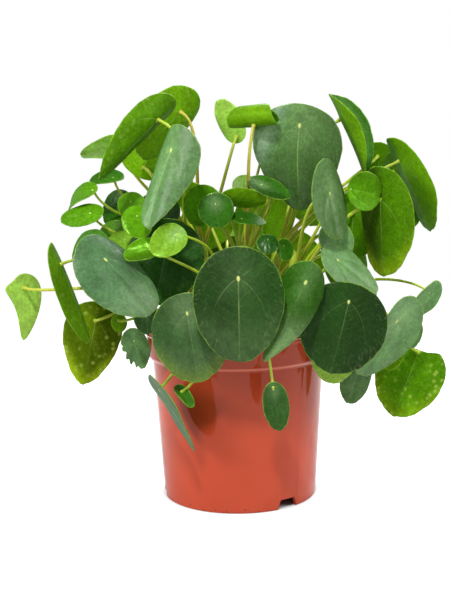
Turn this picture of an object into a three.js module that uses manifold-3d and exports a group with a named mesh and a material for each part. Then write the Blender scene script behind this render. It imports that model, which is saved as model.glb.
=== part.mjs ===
// A Chinese money plant (Pilea peperomioides) in its moulded plastic nursery pot.
// Millimetres, +Z up. The origin is the middle of the pot's foot; the front of the plant looks along -Y.
import * as THREE from "three";
import { mergeVertices } from "three/addons/utils/BufferGeometryUtils.js";
import Module from "manifold-3d";

const wasm = await Module();
wasm.setup();

const rad = THREE.MathUtils.degToRad;
const CLEARANCE = 0.3; // air left between pieces that touch or come close
const JOINT_GAP = 0.5; // air left between the end of a petiole and its large blade

// The pot: a tapered wall under a slightly wider collar, on a foot ring with four drain notches.
const FOOT_RADIUS = 71.5;
const FOOT_EDGE = 1.2; // rounding under the outer edge of the foot
const COLLAR_Z = 132.4; // lower edge of the collar
const COLLAR_TURN = 2.2; // height of the turn from the wall into the collar
const SHOULDER_Z = 128.4; // inside, the wall begins to widen into the collar here
const WALL_RADIUS_AT_COLLAR = 79.7;
const COLLAR_RADIUS = 84;
const RIM_RADIUS = 85;
const RIM_Z = 157;
const RIM_LIP = 1.4; // the rim's rolled edge stands this far out
const WALL = 1.9;
const FLOOR_Z = 9.6; // underside of the raised floor
const FLOOR = 2;
const FOOT_WIDTH = 3.4;
const HUB_RADIUS = 34; // flat round foot in the middle of the underside
const POT_SIDES = 44;
const NOTCH = { width: 20, height: 8.6, depth: 14, azimuths: [-53, 7, 127, 187] };
const DRAIN = { radius: 4, circle: 52, count: 6, sides: 8 };

// The soil fills the pot to a little under the rim.
const SOIL_Z = 142;
const SOIL_SIDES = 28;
const SOIL_RINGS = 3;
const SOIL_RELIEF = 1.6; // height of the lumps in its top

// The blades: peltate, nearly round, thick for their size.
const BLADE = 0.9;
const EGG = 0.1; // how much broader the base half is than the tip half
const SEAT = 0.3; // where the petiole meets the blade, as a share of the length from the base edge
const NOTCH_SPREAD = 0.1; // how far a notch at the base reaches round, as 1 + cos(turn)
const LARGE = 44; // blades at least this long are pieces of their own

// The stems.
const TRUNK = { root: 6.6, top: 4.6, sides: 9, steps: 6, sunk: 24 };
const PETIOLE = { root: 2.1, navel: 1.25, sides: 5, steps: 5 };
const STEP_ASIDE = 3; // a blade that would cross another moves back or forth by steps of this
const STEPS_ASIDE = [0, 1, -1, 2, -2, 3, -3, 4, -4, 5, -5, 6, -6];
// How far aside and up a petiole's middle may bow, in the order in which the bows are tried.
const BOWS = [
  [0, 0], [9, 0], [-9, 0], [0, 9], [0, -9], [18, 0], [-18, 0], [13, 13], [-13, 13], [0, 20],
  [28, 0], [-28, 0], [24, 24], [-24, 24], [0, -20], [20, -20], [-20, -20], [40, 10], [-40, 10], [0, 40],
  [12, -12], [-12, -12], [36, -10], [-36, -10], [0, -32], [50, 0], [-50, 0],
  [30, 40], [-30, 40], [50, 30], [-50, 30],
];

const MATERIALS = {
  pot: new THREE.MeshStandardMaterial({ color: 0xc4513a, roughness: 0.3, metalness: 0 }),
  soil: new THREE.MeshStandardMaterial({ color: 0x2f2119, roughness: 1, metalness: 0 }),
  stem: new THREE.MeshStandardMaterial({ color: 0x9aa53e, roughness: 0.55, metalness: 0 }),
  dark: new THREE.MeshStandardMaterial({ color: 0x2f5a26, roughness: 0.4, metalness: 0 }),
  grey: new THREE.MeshStandardMaterial({ color: 0x6f8f6a, roughness: 0.4, metalness: 0 }),
  green: new THREE.MeshStandardMaterial({ color: 0x4f8f1c, roughness: 0.4, metalness: 0 }),
  bright: new THREE.MeshStandardMaterial({ color: 0x8cc63f, roughness: 0.4, metalness: 0 }),
};

// Seven shoots stand in the pot. Each row: where the trunk leaves the soil, and where it ends.
const SHOOTS = {
  middle: { foot: [8, -4], top: [9, -8, 236] },
  left: { foot: [-34, -12], top: [-40, -14, 230] },
  right: { foot: [46, -10], top: [54, -12, 228] },
  front: { foot: [10, -46], top: [10, -54, 206] },
  rear_left: { foot: [-26, 34], top: [-32, 42, 232] },
  rear_right: { foot: [34, 36], top: [40, 44, 230] },
  rear: { foot: [2, 60], top: [2, 70, 214] },
};

// The leaves. Each row: the shoot, the navel [x, y, z] where the petiole meets the blade, the way the upper
// face looks [azimuth, elevation], the turn of the tip from straight down (to the right, looking at the
// upper face), length, width, cup (how far each side edge turns towards the upper face), curl (how far the
// tip turns the same way), the colour, and what else is special about the blade.
const LEAVES = [
  // the ring of big blades that hangs over the front of the pot
  ["front", [0, -128, 219], [-90, 5], 0, 96, 75, -8, -10, "dark", { seat: 0.27 }],
  ["front", [-43, -108, 188], [-93, 5], 8, 77, 66, -10, -12, "dark", { seat: 0.22 }],
  ["right", [93, -100, 194], [-92, 5], -14, 79, 76, -12, -10, "dark", { seat: 0.2 }],
  [
    "front", [56, -114, 213], [-84, 10], -27, 95, 42, -46, -4, "green",
    { seat: 0.2, egg: 0.48, twist: 46, cone: 1, sweep: -0.12 },
  ],
  ["left", [-112, -85, 232], [-52, 36], 29, 88, 70, -38, -8, "grey", {}],
  ["left", [-61, -45, 240], [-95, 15], -12, 78, 70, -10, -8, "dark", {}],
  ["right", [86, -84, 227], [-50, 39], 37, 62, 46, -12, -6, "grey", { seat: 0.26 }],
  ["right", [139, -68, 171], [-52, -26], -15, 87, 62, 28, -8, "grey", {}],
  ["left", [-155, -62, 225], [173, -20], 0, 94, 52, 16, 4, "green", { seat: 0.22 }],
  ["left", [-70, -88, 118], [-160, -28], 13, 78, 50, -8, 4, "grey", { seat: 0.2 }],
  ["rear_left", [-130, -20, 169], [100, 0], 13, 78, 52, 14, 0, "green", { seat: 0.22, egg: 0.34 }],
  [
    "left", [-196, -10, 199], [118, 5], -42, 59, 33, 20, -10, "bright",
    { seat: 0.32, notch: 0.4, sweep: 1.4 },
  ],
  [
    "rear_right", [166, -20, 134], [82, -6], 20, 75, 65, 18, 10, "bright",
    { seat: 0.14, egg: 0.18, notch: 0.8 },
  ],
  ["right", [108, -58, 130], [-70, -5], -12, 48, 32, -16, 0, "grey", { seat: 0.22 }],
  ["rear_right", [88, -56, 152], [98, 0], 10, 54, 46, 10, 0, "bright", {}],
  // the upright blades of the upper left
  ["rear_left", [-68, -40, 349], [147, 25], 45, 104, 46, 60, 0, "green", { seat: 0.25, egg: 0.32 }],
  ["rear_left", [-49, -12, 356], [128, 15], 46, 80, 54, 34, 0, "green", {}],
  ["left", [-55, -70, 323], [-138, 20], -8, 93, 58, -44, 0, "grey", { seat: 0.24, egg: 0.48, sweep: 0.08 }],
  ["rear_left", [-106, 30, 326], [110, 62], 75, 56, 44, 10, -10, "bright", {}],
  ["rear_left", [-84, 14, 306], [100, -8], -155, 50, 54, 20, 10, "green", { seat: 0.2 }],
  // the upper middle
  ["middle", [57, -40, 342], [-90, 6], -8, 94, 77, -20, -16, "grey", { seat: 0.2, egg: 0.32, sweep: 0.2 }],
  ["middle", [17, -35, 343], [62, 56], 84, 48, 54, 170, 0, "green", { seat: 0.45, egg: 0.1 }],
  ["rear_left", [2, 2, 333], [80, 20], 158, 44, 26, 36, 10, "bright", { seat: 0.15 }],
  // the upper right
  ["rear_right", [97, -10, 347], [-17, 26], 4, 84, 66, 66, -10, "green", {}],
  ["right", [80, -75, 284], [-38, 10], 2, 70, 52, -8, 0, "grey", { seat: 0.42, egg: 0 }],
  ["rear_right", [148, -22, 309], [16, 24], -12, 92, 62, 24, -6, "green", { seat: 0.25 }],
  ["right", [128, -38, 276], [38, 4], 0, 98, 66, 22, 0, "green", {}],
  ["rear_right", [150, 22, 298], [24, 12], -22, 74, 52, 14, 0, "dark", { seat: 0.25 }],
  ["rear_right", [138, 48, 312], [60, 20], 0, 48, 40, 10, 0, "dark", {}],
  ["right", [108, -14, 262], [60, 0], 4, 64, 48, 14, 0, "bright", {}],
  // the hidden back, in the same way
  ["rear", [0, 148, 205], [90, 10], 0, 86, 72, -12, -8, "dark", {}],
  ["rear", [-64, 126, 222], [112, 14], -8, 78, 66, -14, -6, "grey", {}],
  ["rear", [62, 130, 214], [68, 12], 8, 80, 68, -10, -10, "dark", {}],
  ["rear", [30, 112, 258], [80, 28], 6, 72, 62, -16, -6, "green", {}],
  ["rear", [-28, 100, 258], [100, 30], -6, 64, 56, -12, -8, "grey", {}],
  ["rear_left", [-96, 92, 228], [140, 12], -6, 70, 60, -14, -10, "dark", {}],
  ["rear_left", [-104, 56, 248], [165, 20], 4, 64, 56, -12, -6, "grey", {}],
  ["rear_right", [112, 96, 222], [40, 10], 6, 76, 64, -12, -8, "dark", {}],
  ["rear_right", [140, 60, 262], [15, 14], -4, 66, 56, -16, -8, "green", {}],
  ["rear_left", [-84, 84, 264], [130, 32], 0, 66, 58, -14, -6, "green", {}],
  ["rear_right", [66, 88, 286], [52, 30], 0, 70, 60, -12, -8, "grey", {}],
  ["rear", [50, 70, 322], [84, 48], 0, 60, 52, 14, -6, "green", {}],
  ["rear_left", [-72, 60, 320], [124, 52], 10, 52, 48, 18, -6, "bright", {}],
  ["rear_right", [72, 50, 298], [60, 34], -8, 60, 52, 16, -8, "green", {}],
  ["rear", [-40, 130, 150], [105, -8], -4, 66, 56, -10, 0, "grey", {}],
  ["rear", [46, 134, 148], [72, -6], 6, 64, 54, 12, 0, "green", {}],
  ["rear_left", [-128, 52, 160], [150, -6], 6, 56, 48, 12, 0, "green", {}],
  ["rear_right", [132, 62, 148], [28, -8], -4, 58, 48, 14, 0, "bright", {}],
  ["rear", [0, 165, 240], [88, 38], 0, 56, 48, 16, -8, "bright", {}],
  // the small and young blades, which are one piece with their shoot
  ["left", [-52, -80, 251], [-80, 25], -52, 36, 28, 14, 0, "bright", { seat: 0.25 }],
  ["left", [-75, -62, 238], [-95, 40], -70, 34, 24, 30, 0, "bright", {}],
  ["left", [-80, -74, 184], [-100, 10], 6, 28, 22, 10, 0, "dark", {}],
  ["left", [-92, -62, 157], [-80, 0], 14, 38, 25, -14, 0, "grey", { wave: 1.6, waves: 5 }],
  ["left", [-108, -26, 170], [90, 10], 0, 18, 15, 10, 0, "green", {}],
  ["left", [-124, -54, 243], [-110, 20], -30, 40, 34, -8, 0, "green", {}],
  ["left", [-100, -34, 243], [-90, 42], -20, 32, 28, 8, 0, "green", {}],
  ["rear_left", [-110, -10, 298], [-100, 62], -75, 32, 26, 20, 0, "dark", {}],
  ["rear_left", [-127, -28, 288], [-110, 50], -82, 43, 26, 10, -70, "bright", { seat: 0.1 }],
  ["left", [-129, -35, 268], [-100, 40], -74, 40, 24, -10, 0, "green", {}],
  ["rear_left", [-108, 4, 276], [-120, 20], 0, 38, 34, -8, 0, "dark", {}],
  ["left", [-95, -16, 277], [-80, 20], 10, 28, 26, 16, 0, "green", {}],
  ["left", [-87, -50, 266], [-75, 30], 0, 32, 28, -14, 0, "bright", {}],
  ["left", [-110, -20, 250], [-100, 25], 0, 36, 32, -10, 0, "dark", {}],
  ["left", [-61, -18, 273], [-60, 30], -20, 30, 24, 10, 0, "dark", {}],
  ["left", [-44, -8, 281], [80, 20], -55, 36, 30, 14, 0, "green", {}],
  ["middle", [-27, -42, 280], [-100, 10], -20, 38, 34, 14, 0, "green", {}],
  ["middle", [-18, -62, 276], [-85, 16], 6, 32, 32, -16, 0, "dark", {}],
  ["rear", [29, 2, 324], [80, 10], 0, 24, 20, 10, 0, "green", {}],
  ["middle", [44, 12, 306], [85, 30], 0, 34, 30, 10, 0, "bright", {}],
  ["middle", [-6, -62, 279], [90, 40], -84, 42, 24, 30, 0, "green", { seat: 0.22 }],
  ["middle", [22, -44, 291], [-80, 50], 50, 42, 24, 16, 0, "dark", {}],
  ["middle", [9, -18, 292], [-85, 30], 0, 26, 24, -12, 0, "grey", {}],
  ["middle", [4, -62, 262], [-70, 62], 66, 32, 22, 20, 0, "dark", {}],
  ["front", [26, -84, 246], [-85, 40], 0, 20, 20, -34, -20, "dark", {}],
  ["front", [40, -75, 240], [-70, 10], 10, 20, 16, 14, 0, "green", {}],
  ["right", [99, -58, 286], [-70, 5], 80, 33, 35, 16, 0, "bright", { seat: 0.08, egg: 0 }],
  ["right", [84, -58, 247], [-80, 10], 24, 36, 32, 24, 0, "grey", {}],
  ["right", [172, -42, 192], [-52, -28], -38, 43, 34, 26, 0, "grey", {}],
  ["right", [158, -34, 161], [-50, 0], 0, 30, 26, 10, 0, "grey", {}],
  ["right", [138, -46, 146], [60, 0], 10, 36, 28, 14, 0, "green", {}],
  ["front", [-50, -96, 118], [-104, 64], 36, 36, 13, 60, 0, "dark", {}],
  ["front", [28, -112, 123], [-85, 0], 8, 43, 23, 24, 0, "green", { seat: 0.14 }],
];

// A closed three.js geometry as a solid: its vertices are merged, and triangles without area dropped.
function solidOf(geometry) {
  const bare = geometry.clone();
  bare.deleteAttribute("normal");
  bare.deleteAttribute("uv");
  const merged = mergeVertices(bare, 1e-4);
  const corners = merged.index.array;
  const kept = [];
  for (let i = 0; i < corners.length; i += 3) {
    const [a, b, c] = corners.slice(i, i + 3);
    if (a !== b && b !== c && c !== a) kept.push(a, b, c);
  }
  const vertProperties = new Float32Array(merged.attributes.position.array);
  return new wasm.Manifold(new wasm.Mesh({ numProp: 3, vertProperties, triVerts: new Uint32Array(kept) }));
}

// A solid as a named mesh.
function meshOf(name, solid, material) {
  const { vertProperties, triVerts } = solid.getMesh();
  const geometry = new THREE.BufferGeometry();
  geometry.setAttribute("position", new THREE.BufferAttribute(vertProperties, 3));
  geometry.setIndex(new THREE.BufferAttribute(triVerts, 1));
  geometry.computeVertexNormals();
  const mesh = new THREE.Mesh(geometry, material);
  mesh.name = name;
  return mesh;
}

// A geometry from a list of points and a list of triangles, for the shapes that follow a formula.
function faceted(points, triangles) {
  const geometry = new THREE.BufferGeometry().setFromPoints(points);
  geometry.setIndex(triangles);
  return geometry;
}

// A profile of [radius, height] points turned round the Z axis.
function turned(profile, sides) {
  const points = profile.map(([radius, height]) => new THREE.Vector2(radius, height));
  return new THREE.LatheGeometry(points, sides).rotateX(Math.PI / 2);
}

function wallRadius(z) {
  return FOOT_RADIUS + ((WALL_RADIUS_AT_COLLAR - FOOT_RADIUS) * z) / COLLAR_Z;
}

// The pot in section, from the hub under the floor, up the outside, over the rim and down the inside.
function makePot() {
  const insideWall = (z) => wallRadius(z) - WALL;
  const insideCollar = (COLLAR_RADIUS + RIM_RADIUS) / 2 - WALL;
  const profile = [
    [0, 0],
    [HUB_RADIUS, 0],
    [HUB_RADIUS + 3, FLOOR_Z],
    [FOOT_RADIUS - FOOT_WIDTH, FLOOR_Z],
    [FOOT_RADIUS - FOOT_WIDTH, 0],
    [FOOT_RADIUS - FOOT_EDGE, 0],
    [FOOT_RADIUS + 0.1, FOOT_EDGE],
    [WALL_RADIUS_AT_COLLAR, COLLAR_Z - COLLAR_TURN],
    [COLLAR_RADIUS - 0.6, COLLAR_Z],
    [COLLAR_RADIUS, COLLAR_Z + 0.8],
    [RIM_RADIUS, RIM_Z - 3.4],
    [RIM_RADIUS + RIM_LIP, RIM_Z - 2.2],
    [RIM_RADIUS + RIM_LIP, RIM_Z - 0.6],
    [RIM_RADIUS + RIM_LIP * 0.5, RIM_Z],
    [RIM_RADIUS - WALL, RIM_Z],
    [insideCollar, COLLAR_Z + 3],
    [insideWall(SHOULDER_Z), SHOULDER_Z],
    [insideWall(FLOOR_Z + FLOOR), FLOOR_Z + FLOOR],
    [HUB_RADIUS - 2, FLOOR_Z + FLOOR],
    [HUB_RADIUS - 5, FLOOR],
    [0, FLOOR],
  ];
  let pot = solidOf(turned(profile, POT_SIDES));
  for (const azimuth of NOTCH.azimuths) {
    const notch = new THREE.BoxGeometry(NOTCH.depth, NOTCH.width, 2 * NOTCH.height);
    notch.translate(FOOT_RADIUS, 0, 0).rotateZ(rad(azimuth));
    pot = pot.subtract(solidOf(notch));
  }
  for (let i = 0; i < DRAIN.count; i++) {
    const hole = new THREE.CylinderGeometry(DRAIN.radius, DRAIN.radius, 3 * FLOOR, DRAIN.sides);
    hole.rotateX(Math.PI / 2).translate(DRAIN.circle, 0, FLOOR_Z + FLOOR / 2);
    hole.rotateZ((2 * Math.PI * (i + 0.5)) / DRAIN.count);
    pot = pot.subtract(solidOf(hole));
  }
  return pot;
}

// The soil: a plug that fits the pot's inside, with a lumpy top.
function makeSoil() {
  const insideWall = (z) => wallRadius(z) - WALL - CLEARANCE;
  const floor = FLOOR_Z + FLOOR + CLEARANCE;
  const profile = [
    [0, FLOOR + CLEARANCE],
    [HUB_RADIUS - 5 - CLEARANCE, FLOOR + CLEARANCE],
    [HUB_RADIUS - 2 - CLEARANCE, floor],
    [insideWall(floor), floor],
    [insideWall(SHOULDER_Z), SHOULDER_Z],
    [insideWall(SHOULDER_Z), SOIL_Z],
  ];
  const edge = profile.at(-1)[0];
  for (let ring = 1; ring <= SOIL_RINGS; ring++) {
    profile.push([edge * (1 - ring / SOIL_RINGS), SOIL_Z]);
  }
  const geometry = turned(profile, SOIL_SIDES);
  const position = geometry.attributes.position;
  for (let i = 0; i < position.count; i++) {
    const [x, y, z] = [position.getX(i), position.getY(i), position.getZ(i)];
    const onTop = z === SOIL_Z && Math.hypot(x, y) < edge - 1;
    const lump = Math.sin(0.11 * x + 1) * Math.cos(0.13 * y) - 0.2;
    if (onTop) position.setZ(i, SOIL_Z + SOIL_RELIEF * lump);
  }
  return solidOf(geometry);
}

// A tapered round stem along a curve, closed at both ends.
function stemAlong(curve, { from, to, sides, steps, grow = 0 }) {
  const frames = curve.computeFrenetFrames(steps, false);
  const points = [];
  const triangles = [];
  for (let i = 0; i <= steps; i++) {
    const centre = curve.getPointAt(i / steps);
    const radius = THREE.MathUtils.lerp(from, to, i / steps) + grow;
    for (let j = 0; j < sides; j++) {
      const turn = (2 * Math.PI * j) / sides;
      const across = frames.normals[i].clone().multiplyScalar(radius * Math.cos(turn));
      points.push(across.addScaledVector(frames.binormals[i], radius * Math.sin(turn)).add(centre));
    }
  }
  for (let i = 0; i < steps; i++) {
    for (let j = 0; j < sides; j++) {
      const [a, b] = [i * sides + j, i * sides + ((j + 1) % sides)];
      triangles.push(a, b, b + sides, a, b + sides, a + sides);
    }
  }
  const last = steps * sides;
  for (let j = 1; j < sides - 1; j++) {
    triangles.push(0, j + 1, j, last, last + j, last + j + 1);
  }
  return solidOf(faceted(points, triangles));
}

// One leaf's own frame and form, from its row.
function readLeaf(row, i) {
  const [shoot, navel, looks, turn, length, width, cup, curl, tone, special] = row;
  const [az, el] = looks.map(rad);
  const face = new THREE.Vector3(Math.cos(el) * Math.cos(az), Math.cos(el) * Math.sin(az), Math.sin(el));
  const down = new THREE.Vector3(Math.sin(el) * Math.cos(az), Math.sin(el) * Math.sin(az), -Math.cos(el));
  const right = new THREE.Vector3().crossVectors(face, down);
  const tip = down.clone().multiplyScalar(Math.cos(rad(turn))).addScaledVector(right, Math.sin(rad(turn)));
  const side = new THREE.Vector3().crossVectors(face, tip);
  const name = `leaf_${String(i + 1).padStart(2, "0")}`;
  return {
    name, shoot, navel: new THREE.Vector3(...navel), face, tip, side, length, width, cup, curl, tone,
    seat: SEAT, egg: EGG, notch: 0, twist: 0, sweep: 0, cone: 0, wave: 0, waves: 4, ...special,
  };
}

const isLarge = (leaf) => leaf.length >= LARGE;

// A point of the blade. The outline is a slightly egg-shaped oval round the navel, and share is how far out
// the point lies, from 0 at the navel to 1 at the edge. A notch draws the base edge in, as on a heart. The
// flat point is rolled across the midrib, twisted round it and bent along it, each on a round arc, and the
// edge may wave.
function bladePoint(leaf, turn, share, above = 0) {
  const rear = Math.exp(-(((1 + Math.cos(turn)) / NOTCH_SPREAD) ** 2));
  const along = share * leaf.length * (0.5 + 0.5 * Math.cos(turn) - leaf.seat) * (1 - leaf.notch * rear);
  const broad = 0.5 * leaf.width * Math.sin(turn) * (1 - leaf.egg * Math.cos(turn));
  const across = share * broad + (leaf.sweep * along * along) / leaf.length;
  const wave = leaf.wave * share * share * Math.sin(leaf.waves * turn + 1);
  const roll = (rad(leaf.cup) / (leaf.width / 2)) * (1 + (leaf.cone * along) / leaf.length) || 1e-9;
  const bend = rad(leaf.curl) / (leaf.length * (1 - leaf.seat)) || 1e-9;
  const high = above + wave;
  let out = Math.sin(roll * across) / roll - high * Math.sin(roll * across);
  let up = (1 - Math.cos(roll * across)) / roll + high * Math.cos(roll * across);
  const twist = (rad(leaf.twist) * along) / leaf.length;
  [out, up] = [out * Math.cos(twist) - up * Math.sin(twist), out * Math.sin(twist) + up * Math.cos(twist)];
  const forth = Math.sin(bend * along) / bend - up * Math.sin(bend * along);
  const lift = (1 - Math.cos(bend * along)) / bend + up * Math.cos(bend * along);
  return leaf.navel.clone()
    .addScaledVector(leaf.tip, forth)
    .addScaledVector(leaf.side, out)
    .addScaledVector(leaf.face, lift);
}

// The blade: two faces of a fan round the navel and rings outside it, split alike, and the edge between.
function makeBlade(leaf, extra = 0) {
  const sides = isLarge(leaf) ? 12 : 9;
  const rings = isLarge(leaf) ? [0.5, 1] : [1];
  const half = BLADE / 2 + extra;
  const points = [];
  const triangles = [];
  for (const above of [half, -half]) {
    points.push(bladePoint(leaf, 0, 0, above));
    for (const share of rings) {
      for (let i = 0; i < sides; i++) {
        points.push(bladePoint(leaf, (2 * Math.PI * i) / sides, share, above));
      }
    }
  }
  const face = points.length / 2;
  const outer = face - sides;
  const both = (a, b, c) => triangles.push(a, b, c, a + face, c + face, b + face);
  for (let i = 0; i < sides; i++) {
    const j = (i + 1) % sides;
    both(0, 1 + i, 1 + j);
    if (rings.length > 1) {
      both(1 + i, 1 + sides + i, 1 + sides + j);
      both(1 + i, 1 + sides + j, 1 + j);
    }
    triangles.push(outer + i + face, outer + j + face, outer + j, outer + i + face, outer + j, outer + i);
  }
  return solidOf(faceted(points, triangles));
}

// The trunk's curve, from under the soil up to its growing tip.
function trunkCurve({ foot, top }) {
  const [x, y] = foot;
  return new THREE.CubicBezierCurve3(
    new THREE.Vector3(x, y, SOIL_Z - TRUNK.sunk),
    new THREE.Vector3(x, y, SOIL_Z + 12),
    new THREE.Vector3(x + (top[0] - x) * 0.5, y + (top[1] - y) * 0.5, (SOIL_Z + top[2]) / 2),
    new THREE.Vector3(...top),
  );
}

// How far up its trunk a petiole starts, by the height of its blade.
const rootShare = (z) => THREE.MathUtils.clamp((z - 90) / 240, 0.45, 0.97);

// A petiole's curve: it leaves the trunk outwards and upwards and meets the underside of the blade square on.
// A bow carries its middle aside and up, clear of what it would cross.
function petioleCurve(leaf, [aside, up]) {
  const shoot = SHOOTS[leaf.shoot];
  const root = trunkCurve(shoot).getPoint(rootShare(leaf.navel.z));
  const gap = isLarge(leaf) ? BLADE / 2 + JOINT_GAP : 0;
  const end = leaf.navel.clone().addScaledVector(leaf.face, -gap);
  const way = end.clone().sub(root);
  const reach = way.length();
  const level = new THREE.Vector3(way.x, way.y, 0).normalize();
  const sideways = new THREE.Vector3(-level.y, level.x, 0);
  const leave = level.clone().multiplyScalar(0.55).add(new THREE.Vector3(0, 0, 0.85));
  const bow = sideways.multiplyScalar(aside).add(new THREE.Vector3(0, 0, up));
  return new THREE.CubicBezierCurve3(
    root,
    root.clone().addScaledVector(leave, 0.36 * reach).add(bow),
    end.clone().addScaledVector(leaf.face, -0.3 * reach).addScaledVector(bow, 0.7),
    end,
  );
}

function makePetiole(leaf, bow, grow = 0) {
  const shape = { from: PETIOLE.root, to: PETIOLE.navel, sides: PETIOLE.sides, steps: PETIOLE.steps, grow };
  return stemAlong(petioleCurve(leaf, bow), shape);
}

function makeTrunk(shoot, grow = 0) {
  const shape = { from: TRUNK.root, to: TRUNK.top, sides: TRUNK.sides, steps: TRUNK.steps, grow };
  return stemAlong(trunkCurve(shoot), shape);
}

// Whether a solid meets any of the others, where their boxes do.
function crosses(one, others) {
  const box = one.boundingBox();
  return others.some((other) => {
    const apart = [0, 1, 2].some((k) => other.box.min[k] > box.max[k] || other.box.max[k] < box.min[k]);
    return !apart && !one.intersect(other.solid).isEmpty();
  });
}

// A solid with its box and the name of the mesh that it goes into.
const placed = (solid, owner) => ({ solid, owner, box: solid.boundingBox() });

// The first of the choices that is clear of the rest.
function firstClear(name, choices, isClear) {
  const choice = choices.find(isClear);
  if (choice === undefined) throw new Error(`${name} has no clear place`);
  return choice;
}

const pot = makePot();
const fullSoil = makeSoil();
const potted = [placed(pot, "pot"), placed(fullSoil, "soil")];
const trunks = Object.entries(SHOOTS).map(([name, shoot]) => placed(makeTrunk(shoot), name));
const holes = Object.values(SHOOTS).map((shoot) => makeTrunk(shoot, CLEARANCE));
const soil = holes.reduce((rest, hole) => rest.subtract(hole), fullSoil);

// The blades are set one after another, each moved back or forth to the first clear place.
const leaves = LEAVES.map(readLeaf);
const blades = [];
for (const leaf of leaves) {
  const moved = (steps) => ({ ...leaf, navel: leaf.navel.clone().setY(leaf.navel.y + steps * STEP_ASIDE) });
  const others = [...blades, ...potted, ...trunks];
  const isClear = (steps) => !crosses(makeBlade(moved(steps), CLEARANCE), others);
  leaf.navel = moved(firstClear(leaf.name, STEPS_ASIDE, isClear)).navel;
  leaf.blade = makeBlade(leaf);
  blades.push(placed(leaf.blade, isLarge(leaf) ? leaf.name : leaf.shoot));
}

// Then the petioles, each with the first bow that is clear of the blades and of the other shoots' stems.
const petioles = [];
for (const leaf of leaves) {
  const others = [...blades, ...potted, ...trunks, ...petioles];
  const foreign = others.filter(({ owner }) => owner !== leaf.shoot && owner !== leaf.name);
  const own = blades.filter(({ owner }) => owner === leaf.name);
  const isClear = (bow) =>
    !crosses(makePetiole(leaf, bow, CLEARANCE), foreign) && !crosses(makePetiole(leaf, bow), own);
  leaf.petiole = makePetiole(leaf, firstClear(`the petiole of ${leaf.name}`, BOWS, isClear));
  petioles.push(placed(leaf.petiole, leaf.shoot));
}

const plant = new THREE.Group();
plant.add(meshOf("pot", pot, MATERIALS.pot));
plant.add(meshOf("soil", soil, MATERIALS.soil));
for (const { owner, solid } of trunks) {
  const own = leaves.filter((leaf) => leaf.shoot === owner);
  const small = own.filter((leaf) => !isLarge(leaf)).map((leaf) => leaf.blade);
  const joined = wasm.Manifold.union([solid, ...own.map((leaf) => leaf.petiole), ...small]);
  if (joined.decompose().length > 1) throw new Error(`shoot_${owner} is in more than one piece`);
  plant.add(meshOf(`shoot_${owner}`, joined, MATERIALS.stem));
}
for (const leaf of leaves.filter(isLarge)) {
  plant.add(meshOf(leaf.name, leaf.blade, MATERIALS[leaf.tone]));
}

export default plant;
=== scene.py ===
# %% [markdown]
# # A Chinese money plant in its plastic pot
# The solids of this plant are plain: flat-sided blades, five-sided stems, a simple pot. Each of them says
# where a piece is, how big it is and which way it looks. This lesson puts the finished surface over each one.
# It works in metres with the pot's foot at the origin, +Z up, and the plant's front looks along -Y.

# %% Load the solids
import math
from functools import partialmethod
from types import SimpleNamespace

import bpy
import numpy as np
from mathutils import Matrix, Vector, kdtree


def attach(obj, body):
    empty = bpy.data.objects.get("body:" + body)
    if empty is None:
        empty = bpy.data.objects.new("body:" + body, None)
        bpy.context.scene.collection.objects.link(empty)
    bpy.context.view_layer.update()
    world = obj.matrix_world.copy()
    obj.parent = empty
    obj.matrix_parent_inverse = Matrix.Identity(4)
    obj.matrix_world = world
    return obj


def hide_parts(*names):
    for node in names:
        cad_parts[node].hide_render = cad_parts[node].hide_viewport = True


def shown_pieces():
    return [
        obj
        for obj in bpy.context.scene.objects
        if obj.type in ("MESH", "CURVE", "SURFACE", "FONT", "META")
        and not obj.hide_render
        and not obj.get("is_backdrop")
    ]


MM = 0.001
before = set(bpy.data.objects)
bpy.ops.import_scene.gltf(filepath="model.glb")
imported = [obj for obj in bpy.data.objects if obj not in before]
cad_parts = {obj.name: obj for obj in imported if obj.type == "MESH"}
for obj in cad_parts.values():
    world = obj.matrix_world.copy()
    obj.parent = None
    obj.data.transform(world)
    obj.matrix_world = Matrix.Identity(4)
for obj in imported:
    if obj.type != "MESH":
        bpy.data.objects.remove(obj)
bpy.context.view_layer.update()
print("solids loaded:", len(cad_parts))

# %% [markdown]
# ## The camera
# The picture was taken with a long lens from about a metre away, a little above the leaves and looking down
# eight degrees. A lens can be given as a focal length in pixels, which Blender wants in millimetres on a
# 36 mm sensor. The camera's place and turns were fitted to the pot's outlines, which are true circles.

# %% Camera
FOCAL_PIXELS = 1103.0
LONG_SIDE_PIXELS = 600
CAMERA_PLACE = Vector((-11.1, -1017.0, 330.0)) * MM
CAMERA_PITCH = math.radians(8.25)
CAMERA_ROLL = math.radians(-1.04)


def new_object(name, data):
    """Puts a camera, a lamp or a mesh in the scene."""
    made = bpy.data.objects.new(name, data)
    bpy.context.scene.collection.objects.link(made)
    return made


def camera_axes(pitch, roll):
    """The camera looks along +Y, tipped down by pitch. Roll turns its right and up axes in their plane."""
    forward = Vector((0, math.cos(pitch), -math.sin(pitch)))
    level = Vector((1, 0, 0))
    upright = level.cross(forward)
    right = level * math.cos(roll) + upright * math.sin(roll)
    up = upright * math.cos(roll) - level * math.sin(roll)
    return right, up, forward


right, up, forward = camera_axes(CAMERA_PITCH, CAMERA_ROLL)
camera_data = bpy.data.cameras.new("camera")
camera_data.sensor_width = 36
camera_data.lens = FOCAL_PIXELS / LONG_SIDE_PIXELS * camera_data.sensor_width
camera_data.clip_start, camera_data.clip_end = 0.05, 100
camera = new_object("camera", camera_data)
turned = Matrix((right, up, -forward)).transposed().to_4x4()
camera.matrix_world = Matrix.Translation(CAMERA_PLACE) @ turned
bpy.context.scene.camera = camera
print(f"lens {camera_data.lens:.1f} mm")

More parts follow.
